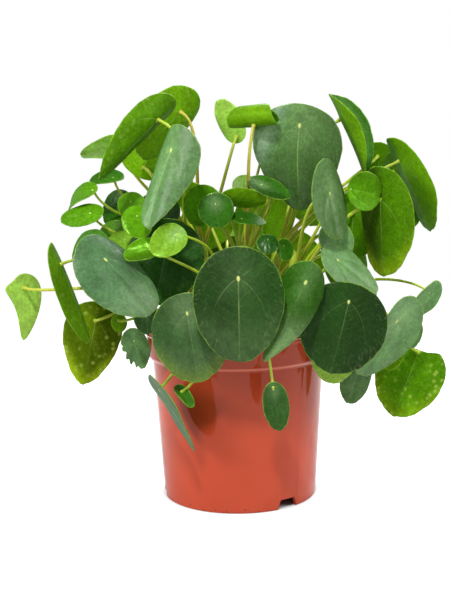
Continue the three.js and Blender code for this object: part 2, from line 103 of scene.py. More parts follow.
# %% [markdown]
# ## Shader nodes in few words
# Every finish here is a small graph of nodes. Adding a node by hand takes four lines, so one helper adds it,
# sets its properties and fills its sockets. A second helper wraps an output as a Signal, so that a finish can
# be written in formulas: where a, b and c are signals, a * b + c adds its two Math nodes by itself.

# %% Helpers for shader nodes
class Signal:
    """A node's output to calculate with. The other value in a formula is a signal or a number."""

    def __init__(self, socket):
        self.socket, self.tree = socket, socket.id_data

    def calc(self, operation, other=0.0):
        """One Math node: self operation other."""
        return signal(self.tree, "Math", {0: self, 1: other}, operation=operation)

    __add__ = partialmethod(calc, "ADD")
    __sub__ = partialmethod(calc, "SUBTRACT")
    __mul__ = partialmethod(calc, "MULTIPLY")
    __truediv__ = partialmethod(calc, "DIVIDE")

    def ramp(self, low, high, out_low=0.0, out_high=1.0):
        """A smooth step: out_low below low, out_high above high, and an S-shaped rise between."""
        sockets = {0: self, 1: low, 2: high, 3: out_low, 4: out_high}
        return signal(self.tree, "MapRange", sockets, interpolation_type="SMOOTHSTEP")

    def parts(self):
        """A vector's three parts, each a signal."""
        return [Signal(part) for part in add_node(self.tree, "SeparateXYZ", {0: self}).outputs]


def add_node(tree, kind, sockets=None, **settings):
    """Adds one shader node with its settings. For each input, by name or number, sockets holds a value, or a
    signal or a node whose first output is linked."""
    made = tree.nodes.new("ShaderNode" + kind)
    for key, value in settings.items():
        setattr(made, key, value)
    for key, value in (sockets or {}).items():
        if isinstance(value, Signal):
            tree.links.new(value.socket, made.inputs[key])
        elif isinstance(value, bpy.types.Node):
            tree.links.new(value.outputs[0], made.inputs[key])
        else:
            made.inputs[key].default_value = value
    return made


def signal(tree, kind, sockets=None, output=0, **settings):
    """What a new node gives at one of its outputs."""
    return Signal(add_node(tree, kind, sockets, **settings).outputs[output])


def blend(share, first, second, how="MIX"):
    """Mixes two colours: the first where share is 0, the second where it is 1. Share or first is a signal."""
    tree = share.tree if isinstance(share, Signal) else first.tree
    return signal(tree, "Mix", {0: share, 6: first, 7: second}, 2, data_type="RGBA", blend_type=how)


def object_place(tree):
    """Where a point lies in its object, in metres."""
    return signal(tree, "TexCoord", output="Object")


def note(tree, name, output="Vector"):
    """The value that each point of the mesh keeps under that name."""
    return signal(tree, "Attribute", output=output, attribute_name=name)


def noise(place, scale, detail):
    """Soft noise with its mean at 0.5. Its patches are about 1 / scale metres wide."""
    return signal(place.tree, "TexNoise", {"Vector": place, "Scale": scale, "Detail": detail})


def bump(height, strength, distance):
    """The normal of a surface that is raised by height times distance in metres."""
    sockets = {"Height": height, "Strength": strength, "Distance": distance}
    return signal(height.tree, "Bump", sockets)


def linear(red, green, blue):
    """A colour given as 0 to 255 in the way a screen shows it, as the linear colour that shaders work in."""
    screen = np.array([red, green, blue]) / 255
    return tuple(np.where(screen < 0.04045, screen / 12.92, ((screen + 0.055) / 1.055) ** 2.4)) + (1.0,)


def new_material(name, shader_of):
    """A material whose surface is the shader that shader_of adds to its empty tree."""
    material = bpy.data.materials.new(name)
    material.use_nodes = True
    tree = material.node_tree
    tree.nodes.clear()
    add_node(tree, "OutputMaterial", {"Surface": shader_of(tree)})
    return material


print("pot red in linear light:", [round(c, 3) for c in linear(200, 75, 50)])

# %% [markdown]
# ## Closed surfaces from rings
# A pot, a stem and a leaf all have the same make-up: rings of points, one after another, with a single point
# closing each end. So one function turns an array of rings into a closed mesh. It could also be done with a
# curve and a bevel, or by spinning a profile, but rings let every point follow its own formula.

# %% Rings to mesh
def even_turns(sides):
    """Turns in radians, evenly round a circle."""
    return np.linspace(0, 2 * np.pi, sides, endpoint=False)


def level_rings(x, y, heights):
    """The same ring at each of the heights."""
    return np.stack([np.stack([x, y, np.full_like(x, z)], -1) for z in heights])


def ring_faces(rings, sides):
    """The faces over points numbered ring by ring, then the two poles. The rings run down an axis and turn
    anticlockwise round it, seen from where it points, so faces look outwards."""
    first = np.arange((rings - 1) * sides).reshape(rings - 1, sides)
    beside = np.roll(first, -1, 1)
    walls = np.stack([first, first + sides, beside + sides, beside], -1).reshape(-1, 4)
    loop = np.arange(sides)
    after = np.roll(loop, -1)
    start, end = rings * sides, rings * sides + 1
    last = (rings - 1) * sides
    head = np.stack([np.full(sides, start), loop, after], -1)
    tail = np.stack([np.full(sides, end), last + after, last + loop], -1)
    return walls, np.concatenate([head, tail])


def new_mesh(name, points, faces):
    """A mesh from points in metres and the numbers of each face's points."""
    mesh = bpy.data.meshes.new(name)
    mesh.from_pydata(points.reshape(-1, 3).tolist(), [], faces)
    return mesh


def closed_shape(rings, start, end, **notes):
    """A closed surface: its points, its faces, and notes, which are values kept at each point. rings is an
    array of rings x sides x 3 points in millimetres. A note is such an array with its values at the poles."""
    count, sides = rings.shape[:2]
    kept = {
        name: np.concatenate([values.reshape(count * sides, -1), [at_start], [at_end]])
        for name, (values, at_start, at_end) in {"points": (rings, start, end), **notes}.items()
    }
    walls, caps = ring_faces(count, sides)
    return SimpleNamespace(points=kept.pop("points"), walls=walls, caps=caps, notes=kept)


def joined(shapes):
    """Several closed surfaces as one, their faces renumbered to follow each other."""
    starts = np.cumsum([0] + [len(s.points) for s in shapes[:-1]])
    names = shapes[0].notes
    return SimpleNamespace(
        points=np.concatenate([s.points for s in shapes]),
        walls=np.concatenate([s.walls + n for s, n in zip(shapes, starts)]),
        caps=np.concatenate([s.caps + n for s, n in zip(shapes, starts)]),
        notes={name: np.concatenate([s.notes[name] for s in shapes]) for name in names},
    )


def make_piece(name, shape, material, stands_for):
    """A mesh object from a closed shape in millimetres. Its notes become attributes for its material."""
    mesh = new_mesh(name, shape.points * MM, shape.walls.tolist() + shape.caps.tolist())
    for key, values in shape.notes.items():
        kind, field = ("FLOAT_COLOR", "color") if values.shape[1] == 4 else ("FLOAT_VECTOR", "vector")
        mesh.attributes.new(key, kind, "POINT").data.foreach_set(field, values.astype(np.float32).ravel())
    mesh.polygons.foreach_set("use_smooth", np.ones(len(mesh.polygons), bool))
    mesh.materials.append(material)
    piece = new_object(name, mesh)
    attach(piece, "root")
    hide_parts(*stands_for)
    return piece


walls, caps = ring_faces(3, 8)
print("three rings of eight:", len(walls), "wall faces and", len(caps), "cap faces")

# %% [markdown]
# ## Studio
# The plant stands on a white table in front of a white wall. A small lamp in front throws the leaves' soft
# shadows, a large one behind shines through the blades, and one on either side mirrors in the glossy pot as
# a pale band. The world is plain white where the camera sees it and dimmer as a light, so that the leaves
# keep their depth. The floor is a pale disc that glows, more strongly for the camera than as a light, except
# under the foot. It fades out towards its rim, which hides the line where it would meet the wall.

# %% Lights, world and floor
WORLD_LIGHT = 0.36
FLOOR_RADIUS, FLOOR_HEART, FLOOR_SIDES, FLOOR_RINGS = 1.6, 0.02, 96, 24
FLOOR_GREY = (0.42, 0.42, 0.42, 1)
FLOOR_GLOW, GLOW_AS_LIGHT, GLOW_TO_CAMERA = 0.52, 0.6, 1.8
FOOT_REACH, GLOW_REACH = 0.065, 0.082  # where the floor's own glow begins and is whole
WHITE = (1, 1, 1, 1)


def soft_light(name, place, target, size, watts):
    """A square area light of that size in metres, at place, aimed at target."""
    data = bpy.data.lights.new(name, "AREA")
    data.shape, data.size, data.energy = "SQUARE", size, watts
    light = new_object(name, data)
    light.location = place
    light.rotation_euler = (Vector(target) - Vector(place)).to_track_quat("-Z", "Y").to_euler()


def seen_by_camera(tree, unseen, seen):
    """One value for the camera and another for the light."""
    return signal(tree, "LightPath", output="Is Camera Ray").ramp(0, 1, unseen, seen)


def floor_shader(tree):
    """Matt white and a glow of its own, both fading out towards the rim."""
    far = signal(tree, "VectorMath", {0: object_place(tree)}, "Value", operation="LENGTH")
    glow = far.ramp(FOOT_REACH, GLOW_REACH, 0.0, FLOOR_GLOW)
    glow = glow * seen_by_camera(tree, GLOW_AS_LIGHT, GLOW_TO_CAMERA)
    shine = add_node(tree, "Emission", {"Color": WHITE, "Strength": glow})
    matt = add_node(tree, "BsdfDiffuse", {"Color": FLOOR_GREY})
    both = add_node(tree, "AddShader", {0: matt, 1: shine})
    fade = far.ramp(0.35 * FLOOR_RADIUS, 0.98 * FLOOR_RADIUS)
    return add_node(tree, "MixShader", {0: fade, 1: both, 2: add_node(tree, "BsdfTransparent")})


soft_light("light_front", (-0.2, -1.1, 1.45), (0, 0, 0.2), 0.16, 26)
soft_light("light_behind", (0.3, 0.75, 1.25), (0, 0, 0.25), 0.8, 26)
soft_light("light_left", (-1.15, -0.7, 0.75), (0, 0, 0.2), 0.6, 15)
soft_light("light_right", (1.15, -0.3, 0.85), (0, 0, 0.2), 0.8, 14)

world = bpy.data.worlds.new("white_studio")
world.use_nodes = True
bpy.context.scene.world = world
background = world.node_tree.nodes["Background"]
background.inputs["Color"].default_value = WHITE
strength = seen_by_camera(world.node_tree, WORLD_LIGHT, 1.0)
world.node_tree.links.new(strength.socket, background.inputs["Strength"])
bpy.context.scene.view_settings.view_transform = "Standard"

turn, reach = np.meshgrid(even_turns(FLOOR_SIDES), np.linspace(FLOOR_HEART, 1, FLOOR_RINGS))
disc = np.stack([np.cos(turn) * reach, np.sin(turn) * reach, 0 * reach], -1) * FLOOR_RADIUS
cells, _ = ring_faces(FLOOR_RINGS, FLOOR_SIDES)
heart = list(range(FLOOR_SIDES))
floor = new_object("floor", new_mesh("floor", disc, [*cells.tolist(), heart]))
floor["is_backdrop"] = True
floor.data.materials.append(new_material("floor_white", floor_shader))
print("floor disc of", len(cells), "cells")

# %% [markdown]
# ## Where every leaf is
# Each leaf is one row: its shoot, the navel where the stalk meets the blade, the way its upper face looks,
# the turn of its tip, its size and how it cups and curls. They are the same values from which the solids
# were made, so a finished blade lies over its solid exactly.

# %% The shoots and the leaves
# where each trunk's foot stands and where its growing tip is
SHOOTS = {
    "middle": ((8, -4), (9, -8, 236)),
    "left": ((-34, -12), (-40, -14, 230)),
    "right": ((46, -10), (54, -12, 228)),
    "front": ((10, -46), (10, -54, 206)),
    "rear_left": ((-26, 34), (-32, 42, 232)),
    "rear_right": ((34, 36), (40, 44, 230)),
    "rear": ((2, 60), (2, 70, 214)),
}
# shoot, navel [x, y, z], upper face looks [azimuth, elevation], turn, length, width, cup, curl, tone, more
LEAVES = [
    # the ring of big blades that hangs over the front of the pot
    ("front", (0, -128, 219), (-90, 5), 0, 96, 75, -8, -10, "dark", {"seat": 0.27}),
    ("front", (-43, -108, 188), (-93, 5), 8, 77, 66, -10, -12, "dark", {"seat": 0.22}),
    ("right", (93, -100, 194), (-92, 5), -14, 79, 76, -12, -10, "dark", {"seat": 0.2}),
    (
        "front", (56, -114, 213), (-84, 10), -27, 95, 42, -46, -4, "green",
        {"seat": 0.2, "egg": 0.48, "twist": 46, "cone": 1, "sweep": -0.12},
    ),
    ("left", (-112, -85, 232), (-52, 36), 29, 88, 70, -38, -8, "grey"),
    ("left", (-61, -45, 240), (-95, 15), -12, 78, 70, -10, -8, "dark"),
    ("right", (86, -84, 227), (-50, 39), 37, 62, 46, -12, -6, "grey", {"seat": 0.26}),
    ("right", (139, -68, 171), (-52, -26), -15, 87, 62, 28, -8, "grey"),
    ("left", (-155, -62, 225), (173, -20), 0, 94, 52, 16, 4, "green", {"seat": 0.22}),
    ("left", (-70, -88, 118), (-160, -28), 13, 78, 50, -8, 4, "grey", {"seat": 0.2}),
    ("rear_left", (-130, -20, 169), (100, 0), 13, 78, 52, 14, 0, "green", {"seat": 0.22, "egg": 0.34}),
    (
        "left", (-196, -10, 199), (118, 5), -42, 59, 33, 20, -10, "bright",
        {"seat": 0.32, "notch": 0.4, "sweep": 1.4},
    ),
    (
        "rear_right", (166, -20, 134), (82, -6), 20, 75, 65, 18, 10, "bright",
        {"seat": 0.14, "egg": 0.18, "notch": 0.8},
    ),
    ("right", (108, -58, 130), (-70, -5), -12, 48, 32, -16, 0, "grey", {"seat": 0.22}),
    ("rear_right", (88, -56, 152), (98, 0), 10, 54, 46, 10, 0, "bright"),
    # the upright blades of the upper left
    ("rear_left", (-68, -40, 349), (147, 25), 45, 104, 46, 60, 0, "green", {"seat": 0.25, "egg": 0.32}),
    ("rear_left", (-49, -12, 356), (128, 15), 46, 80, 54, 34, 0, "green"),
    (
        "left", (-55, -70, 323), (-138, 20), -8, 93, 58, -44, 0, "grey",
        {"seat": 0.24, "egg": 0.48, "sweep": 0.08},
    ),
    ("rear_left", (-106, 30, 326), (110, 62), 75, 56, 44, 10, -10, "bright"),
    ("rear_left", (-84, 14, 306), (100, -8), -155, 50, 54, 20, 10, "green", {"seat": 0.2}),
    # the upper middle
    (
        "middle", (57, -40, 342), (-90, 6), -8, 94, 77, -20, -16, "grey",
        {"seat": 0.2, "egg": 0.32, "sweep": 0.2},
    ),
    ("middle", (17, -35, 343), (62, 56), 84, 48, 54, 170, 0, "green", {"seat": 0.45, "egg": 0.1}),
    ("rear_left", (2, 2, 333), (80, 20), 158, 44, 26, 36, 10, "bright", {"seat": 0.15}),
    # the upper right
    ("rear_right", (97, -10, 347), (-17, 26), 4, 84, 66, 66, -10, "green"),
    ("right", (80, -75, 284), (-38, 10), 2, 70, 52, -8, 0, "grey", {"seat": 0.42, "egg": 0}),
    ("rear_right", (148, -22, 309), (16, 24), -12, 92, 62, 24, -6, "green", {"seat": 0.25}),
    ("right", (128, -38, 276), (38, 4), 0, 98, 66, 22, 0, "green"),
    ("rear_right", (150, 22, 298), (24, 12), -22, 74, 52, 14, 0, "dark", {"seat": 0.25}),
    ("rear_right", (138, 48, 312), (60, 20), 0, 48, 40, 10, 0, "dark"),
    ("right", (108, -14, 262), (60, 0), 4, 64, 48, 14, 0, "bright"),
    # the hidden back, in the same way
    ("rear", (0, 148, 205), (90, 10), 0, 86, 72, -12, -8, "dark"),
    ("rear", (-64, 126, 222), (112, 14), -8, 78, 66, -14, -6, "grey"),
    ("rear", (62, 130, 214), (68, 12), 8, 80, 68, -10, -10, "dark"),
    ("rear", (30, 112, 258), (80, 28), 6, 72, 62, -16, -6, "green"),
    ("rear", (-28, 100, 258), (100, 30), -6, 64, 56, -12, -8, "grey"),
    ("rear_left", (-96, 92, 228), (140, 12), -6, 70, 60, -14, -10, "dark"),
    ("rear_left", (-104, 56, 248), (165, 20), 4, 64, 56, -12, -6, "grey"),
    ("rear_right", (112, 96, 222), (40, 10), 6, 76, 64, -12, -8, "dark"),
    ("rear_right", (140, 60, 262), (15, 14), -4, 66, 56, -16, -8, "green"),
    ("rear_left", (-84, 84, 264), (130, 32), 0, 66, 58, -14, -6, "green"),
    ("rear_right", (66, 88, 286), (52, 30), 0, 70, 60, -12, -8, "grey"),
    ("rear", (50, 70, 322), (84, 48), 0, 60, 52, 14, -6, "green"),
    ("rear_left", (-72, 60, 320), (124, 52), 10, 52, 48, 18, -6, "bright"),
    ("rear_right", (72, 50, 298), (60, 34), -8, 60, 52, 16, -8, "green"),
    ("rear", (-40, 130, 150), (105, -8), -4, 66, 56, -10, 0, "grey"),
    ("rear", (46, 134, 148), (72, -6), 6, 64, 54, 12, 0, "green"),
    ("rear_left", (-128, 52, 160), (150, -6), 6, 56, 48, 12, 0, "green"),
    ("rear_right", (132, 62, 148), (28, -8), -4, 58, 48, 14, 0, "bright"),
    ("rear", (0, 165, 240), (88, 38), 0, 56, 48, 16, -8, "bright"),
    # the small and young blades, which are one piece with their shoot
    ("left", (-52, -80, 251), (-80, 25), -52, 36, 28, 14, 0, "bright", {"seat": 0.25}),
    ("left", (-75, -62, 238), (-95, 40), -70, 34, 24, 30, 0, "bright"),
    ("left", (-80, -74, 184), (-100, 10), 6, 28, 22, 10, 0, "dark"),
    ("left", (-92, -62, 157), (-80, 0), 14, 38, 25, -14, 0, "grey", {"wave": 1.6, "waves": 5}),
    ("left", (-108, -26, 170), (90, 10), 0, 18, 15, 10, 0, "green"),
    ("left", (-124, -54, 243), (-110, 20), -30, 40, 34, -8, 0, "green"),
    ("left", (-100, -34, 243), (-90, 42), -20, 32, 28, 8, 0, "green"),
    ("rear_left", (-110, -10, 298), (-100, 62), -75, 32, 26, 20, 0, "dark"),
    ("rear_left", (-127, -28, 288), (-110, 50), -82, 43, 26, 10, -70, "bright", {"seat": 0.1}),
    ("left", (-129, -35, 268), (-100, 40), -74, 40, 24, -10, 0, "green"),
    ("rear_left", (-108, 4, 276), (-120, 20), 0, 38, 34, -8, 0, "dark"),
    ("left", (-95, -16, 277), (-80, 20), 10, 28, 26, 16, 0, "green"),
    ("left", (-87, -50, 266), (-75, 30), 0, 32, 28, -14, 0, "bright"),
    ("left", (-110, -20, 250), (-100, 25), 0, 36, 32, -10, 0, "dark"),
    ("left", (-61, -18, 273), (-60, 30), -20, 30, 24, 10, 0, "dark"),
    ("left", (-44, -8, 281), (80, 20), -55, 36, 30, 14, 0, "green"),
    ("middle", (-27, -42, 280), (-100, 10), -20, 38, 34, 14, 0, "green"),
    ("middle", (-18, -62, 276), (-85, 16), 6, 32, 32, -16, 0, "dark"),
    ("rear", (29, 2, 324), (80, 10), 0, 24, 20, 10, 0, "green"),
    ("middle", (44, 12, 306), (85, 30), 0, 34, 30, 10, 0, "bright"),
    ("middle", (-6, -62, 279), (90, 40), -84, 42, 24, 30, 0, "green", {"seat": 0.22}),
    ("middle", (22, -44, 291), (-80, 50), 50, 42, 24, 16, 0, "dark"),
    ("middle", (9, -18, 292), (-85, 30), 0, 26, 24, -12, 0, "grey"),
    ("middle", (4, -62, 262), (-70, 62), 66, 32, 22, 20, 0, "dark"),
    ("front", (26, -84, 246), (-85, 40), 0, 20, 20, -34, -20, "dark"),
    ("front", (40, -75, 240), (-70, 10), 10, 20, 16, 14, 0, "green"),
    ("right", (99, -58, 286), (-70, 5), 80, 33, 35, 16, 0, "bright", {"seat": 0.08, "egg": 0}),
    ("right", (84, -58, 247), (-80, 10), 24, 36, 32, 24, 0, "grey"),
    ("right", (172, -42, 192), (-52, -28), -38, 43, 34, 26, 0, "grey"),
    ("right", (158, -34, 161), (-50, 0), 0, 30, 26, 10, 0, "grey"),
    ("right", (138, -46, 146), (60, 0), 10, 36, 28, 14, 0, "green"),
    ("front", (-50, -96, 118), (-104, 64), 36, 36, 13, 60, 0, "dark"),
    ("front", (28, -112, 123), (-85, 0), 8, 43, 23, 24, 0, "green", {"seat": 0.14}),
]
# seat: how far the navel is from the rear; egg: how much wider the rear is; sweep: how far the midrib bends
# aside; cone: how the cup grows towards the tip; twist: in degrees; wave: in mm, with so many waves round
USUAL = {"seat": 0.3, "egg": 0.1, "notch": 0, "twist": 0, "sweep": 0, "cone": 0, "wave": 0, "waves": 4}
LARGE, GROWN = 44, 90  # from which length a blade is a solid of its own, and the length of a grown one
BLADE_HALF = 0.45  # half its thickness
NOTCH_SPREAD = 0.1


def read_leaf(number, row):
    """One leaf's own axes, from its row: face is the way the upper side looks, tip the way from the navel
    to the tip, and side is face x tip."""
    shoot, navel, looks, turn, length, width, cup, curl, tone = row[:9]
    azimuth, elevation, turn = (math.radians(v) for v in (*looks, turn))
    level, up = np.array([math.cos(azimuth), math.sin(azimuth), 0]), np.array([0, 0, 1])
    face = math.cos(elevation) * level + math.sin(elevation) * up
    down = math.sin(elevation) * level - math.cos(elevation) * up
    tip = down * math.cos(turn) + np.cross(face, down) * math.sin(turn)
    more = row[9] if len(row) > 9 else {}
    return SimpleNamespace(
        number=number, name=f"leaf_{number:02d}", shoot=shoot, navel=np.array(navel, float),
        face=face, tip=tip, side=np.cross(face, tip), length=length, width=width, size=length / GROWN,
        cup=math.radians(cup), curl=math.radians(curl), tone=tone, large=length >= LARGE,
        **{**USUAL, **more},
    )


leaves = [read_leaf(i + 1, row) for i, row in enumerate(LEAVES)]
print(len(leaves), "leaves, of which", sum(leaf.large for leaf in leaves), "large")

# %% [markdown]
# ## The form of a blade
# A blade is nearly round and its stalk meets it inside the outline, like an umbrella's handle. A point of it
# is given by two numbers: turn, which runs round the outline, and share, which runs from the navel to the
# edge. The flat point is rolled round an arc across the midrib, twisted about it and bent along it.

# %% Blade formula
def flat_blade(leaf, turn, share):
    """The flat outline, shrunk by share towards the navel: an egg-shaped oval, along and across its midrib.
    A notch draws its rear in, by a bell curve of 1 + cos(turn), as a heart's is."""
    rear = np.exp(-(((1 + np.cos(turn)) / NOTCH_SPREAD) ** 2))
    along = share * leaf.length * (0.5 - leaf.seat + 0.5 * np.cos(turn)) * (1 - leaf.notch * rear)
    across = share * 0.5 * leaf.width * np.sin(turn) * (1 - leaf.egg * np.cos(turn))
    return along, across


def shaped_blade(leaf, turn, share, above):
    """Points of the blade in millimetres. With r = cup / (width / 2) and b = curl / (length x (1 - seat)):
    out = sin(r c) / r - h sin(r c) and up = (1 - cos(r c)) / r + h cos(r c) roll the point c across, h above;
    a turn by twist x along / length follows; then the same two formulas with b bend it along the midrib."""
    along, across = flat_blade(leaf, turn, share)
    across = across + leaf.sweep * along**2 / leaf.length
    high = above + leaf.wave * share**2 * np.sin(leaf.waves * turn + 1)
    roll = leaf.cup / (leaf.width / 2) * (1 + leaf.cone * along / leaf.length) + 1e-9
    bend = leaf.curl / (leaf.length * (1 - leaf.seat)) + 1e-9
    out = np.sin(roll * across) / roll - high * np.sin(roll * across)
    up = (1 - np.cos(roll * across)) / roll + high * np.cos(roll * across)
    twist = math.radians(leaf.twist) * along / leaf.length
    out, up = out * np.cos(twist) - up * np.sin(twist), out * np.sin(twist) + up * np.cos(twist)
    forth = np.sin(bend * along) / bend - up * np.sin(bend * along)
    lift = (1 - np.cos(bend * along)) / bend + up * np.cos(bend * along)
    axes = np.stack([leaf.tip, leaf.side, leaf.face])
    return leaf.navel + np.stack([forth, out, lift], -1) @ axes


edge_points = shaped_blade(leaves[0], np.linspace(0, 2 * np.pi, 12), 1.0, 0.0)
print("first leaf spans", np.round(np.ptp(edge_points, axis=0), 1), "mm")

# %% [markdown]
# ## Stalks and trunks
# A stalk leaves its trunk outwards and upwards and meets the underside of its blade square on, so a cubic
# Bezier curve describes it. Where a straight one would cross a leaf, the solid bows aside; the same bow is
# found again below by trying each one and measuring how close its line comes to the solid's own points.

# %% Stem curves
SOIL_Z = 142.0
TRUNK_SUNK, TRUNK_UPRIGHT = 24.0, 12.0  # how deep a trunk stands in the soil, and how far up it is upright
STALK_RADIUS, STALK_TAPER = 2.1, 0.85
BOWS = [
    (way * aside, rise)
    for aside, rise in (
        (0, 0), (9, 0), (0, 9), (0, -9), (18, 0), (13, 13), (0, 20), (28, 0), (24, 24), (0, -20), (20, -20),
        (40, 10), (0, 40), (12, -12), (36, -10), (0, -32), (50, 0), (30, 40), (50, 30),
    )
    for way in (1, -1)
]


def bezier(handles, t):
    """A cubic Bezier curve's points and directions at t: the four handles weighted by (1-t)^3, 3t(1-t)^2,
    3t^2(1-t) and t^3, and the slope of that sum."""
    a, b, c, d = handles
    t = np.asarray(t)[:, None]
    place = a * (1 - t) ** 3 + 3 * b * t * (1 - t) ** 2 + 3 * c * t**2 * (1 - t) + d * t**3
    slope = 3 * (b - a) * (1 - t) ** 2 + 6 * (c - b) * t * (1 - t) + 3 * (d - c) * t**2
    return place, slope / np.linalg.norm(slope, axis=1, keepdims=True)


def even_steps(handles, shares):
    """The curve's parameters at which its length is shared out as shares says."""
    t = np.linspace(0, 1, 201)
    place = bezier(handles, t)[0]
    length = np.concatenate([[0], np.cumsum(np.linalg.norm(np.diff(place, axis=0), axis=1))])
    return np.interp(np.asarray(shares) * length[-1], length, t)


def trunk_handles(shoot):
    """Straight up out of the soil, then leaning over to the growing tip."""
    (x, y), top = SHOOTS[shoot]
    foot, top = np.array([x, y, 0.0]), np.array(top, float)
    knee = (foot + top) / 2
    knee[2] = (SOIL_Z + top[2]) / 2
    return foot + [0, 0, SOIL_Z - TRUNK_SUNK], foot + [0, 0, SOIL_Z + TRUNK_UPRIGHT], knee, top


def stalk_handles(leaf, bow, gap=0.0):
    """From the trunk to gap below the navel. The stalk leaves at a share (z - 90) / 240 of the trunk, with z
    the navel's height, kept between 0.45 and 0.97. The two middle handles lie 0.36 and 0.3 of its reach from
    its ends: at the trunk 0.55 outwards for each 0.85 up, at the blade square to it. The bow shifts them."""
    share = min(max((leaf.navel[2] - 90) / 240, 0.45), 0.97)
    root = bezier(trunk_handles(leaf.shoot), [share])[0][0]
    end = leaf.navel - leaf.face * gap
    way = end - root
    reach = np.linalg.norm(way)
    level = np.array([way[0], way[1], 0]) / math.hypot(way[0], way[1])
    shift = np.array([-level[1], level[0], 0]) * bow[0] + np.array([0, 0, bow[1]])
    leave = 0.55 * level + np.array([0, 0, 0.85])
    return root, root + leave * 0.36 * reach + shift, end - leaf.face * 0.3 * reach + shift * 0.7, end


print("a stalk of leaf 1 from", np.round(stalk_handles(leaves[0], (0, 0))[0]), "mm")

# %% [markdown]
# ## Reading the solids
# A blade that would have touched another was moved back or forth by steps of 3 mm, and a stalk took a bow.
# A k-d tree answers "which point of the solid is nearest" quickly, so each choice is tried against it.

# %% Find each blade's step and each stalk's bow
STEP = 3  # in mm
SOLID_GAP = 0.95  # how far below the navel a solid's stalk ends under a large blade
SOLID_RINGS, SOLID_SIDES = np.array([0.4, 0.6, 0.8]), 5  # where some of its rings lie, and a ring's points


def tree_of(node):
    """A k-d tree of a solid's points, in millimetres."""
    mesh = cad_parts[node].data
    points = np.zeros(len(mesh.vertices) * 3)
    mesh.vertices.foreach_get("co", points)
    points = points.reshape(-1, 3) / MM
    tree = kdtree.KDTree(len(points))
    for i, point in enumerate(points):
        tree.insert(point, i)
    tree.balance()
    return tree


def found_step(leaf, tree):
    """How many steps back the blade's edge lies on the solid's points, and how far off it still is. A large
    blade's solid has 12 sides and a small one's 9."""
    sides = 12 if leaf.large else 9
    edge = shaped_blade(leaf, even_turns(sides), 1.0, BLADE_HALF)
    misses = {n: np.median([tree.find(p + [0, STEP * n, 0])[2] for p in edge]) for n in range(-6, 7)}
    return min(misses, key=misses.get), min(misses.values())


def found_bow(leaf, tree):
    """The bow whose line runs through the middle of the solid stalk's own rings, and how far off it is."""
    misses = []
    for bow in BOWS:
        handles = stalk_handles(leaf, bow, SOLID_GAP if leaf.large else 0.0)
        middles = bezier(handles, even_steps(handles, SOLID_RINGS))[0]
        radius = STALK_RADIUS - STALK_TAPER * SOLID_RINGS
        off = [[abs(hit[2] - r) for hit in tree.find_n(m, SOLID_SIDES)] for m, r in zip(middles, radius)]
        misses.append(np.mean(off))
    return BOWS[int(np.argmin(misses))], min(misses)


trees = {name: tree_of(name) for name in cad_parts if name.startswith(("leaf", "shoot"))}
worst = [0.0, 0.0]
for leaf in leaves:
    shoot_tree = trees[f"shoot_{leaf.shoot}"]
    step, miss = found_step(leaf, trees[leaf.name] if leaf.large else shoot_tree)
    leaf.navel = leaf.navel + [0, STEP * step, 0]
    leaf.bow, off = found_bow(leaf, shoot_tree)
    worst = [max(worst[0], miss), max(worst[1], off)]
print(f"blades found within {worst[0]:.2f} mm, stalks within {worst[1]:.2f} mm")

# %% [markdown]
# ## A finished blade
# The solid is a dozen flat facets. The real blade is a smooth, slightly fleshy sheet with a rounded edge, a
# dimple where the stalk meets it and shallow valleys along its main veins. One closed surface gives all of
# that: rings run out over the upper face, round the edge and back underneath. The veins are too fine for the
# mesh, so each point also keeps its distance from them, and the material draws them from that.

# %% Blade surface
OUTLINE_SIDES = 96
ROUND_FROM = 0.955  # from this share outwards the sheet's edge is rounded
# how far out each ring of the upper face lies, as a share of the way from the navel to the edge
UPPER_SHARES = np.array([
    0.035, 0.08, 0.14, 0.22, 0.31, 0.41, 0.51, 0.61, 0.7, 0.78, 0.85, 0.91, ROUND_FROM, 0.982, 0.995,
])
UPPER_HALF = BLADE_HALF * np.sqrt(1 - np.clip((UPPER_SHARES - ROUND_FROM) / (1 - ROUND_FROM), 0, 1) ** 2)


def vein_lines(leaf, turn, share):
    """Signed distances in mm from the veins. With r and p the polar place of a point round the navel, the
    side veins start 62 degrees off the midrib and lean in towards the tip, at p = 62 - 38 x share; the rear
    ones keep p = 118 + 16 x share. A distance from one is r sin(|p| - its angle). edge is the way left to the
    rim, and comb counts 0.8 ahead and 0.62 aside, so that the fine veins lie aslant."""
    along, across = flat_blade(leaf, turn, share)
    radius = np.hypot(along, across)
    angle = np.abs(np.arctan2(across, along))
    arch = radius * np.sin(angle - np.radians(62 - 38 * share))
    rear = radius * np.sin(angle - np.radians(118 + 16 * share))
    edge = np.hypot(*flat_blade(leaf, turn, np.ones_like(share))) * (1 - share)
    comb = along * 0.8 + np.abs(across) * 0.62
    return along, across, arch, rear, edge, comb


def valley(distance, width):
    """A bell curve: 1 on the line and falling off over width."""
    return np.exp(-((distance / width) ** 2))


FLATTER = (36, 40)  # two leaves so close to each other that their waves are kept low


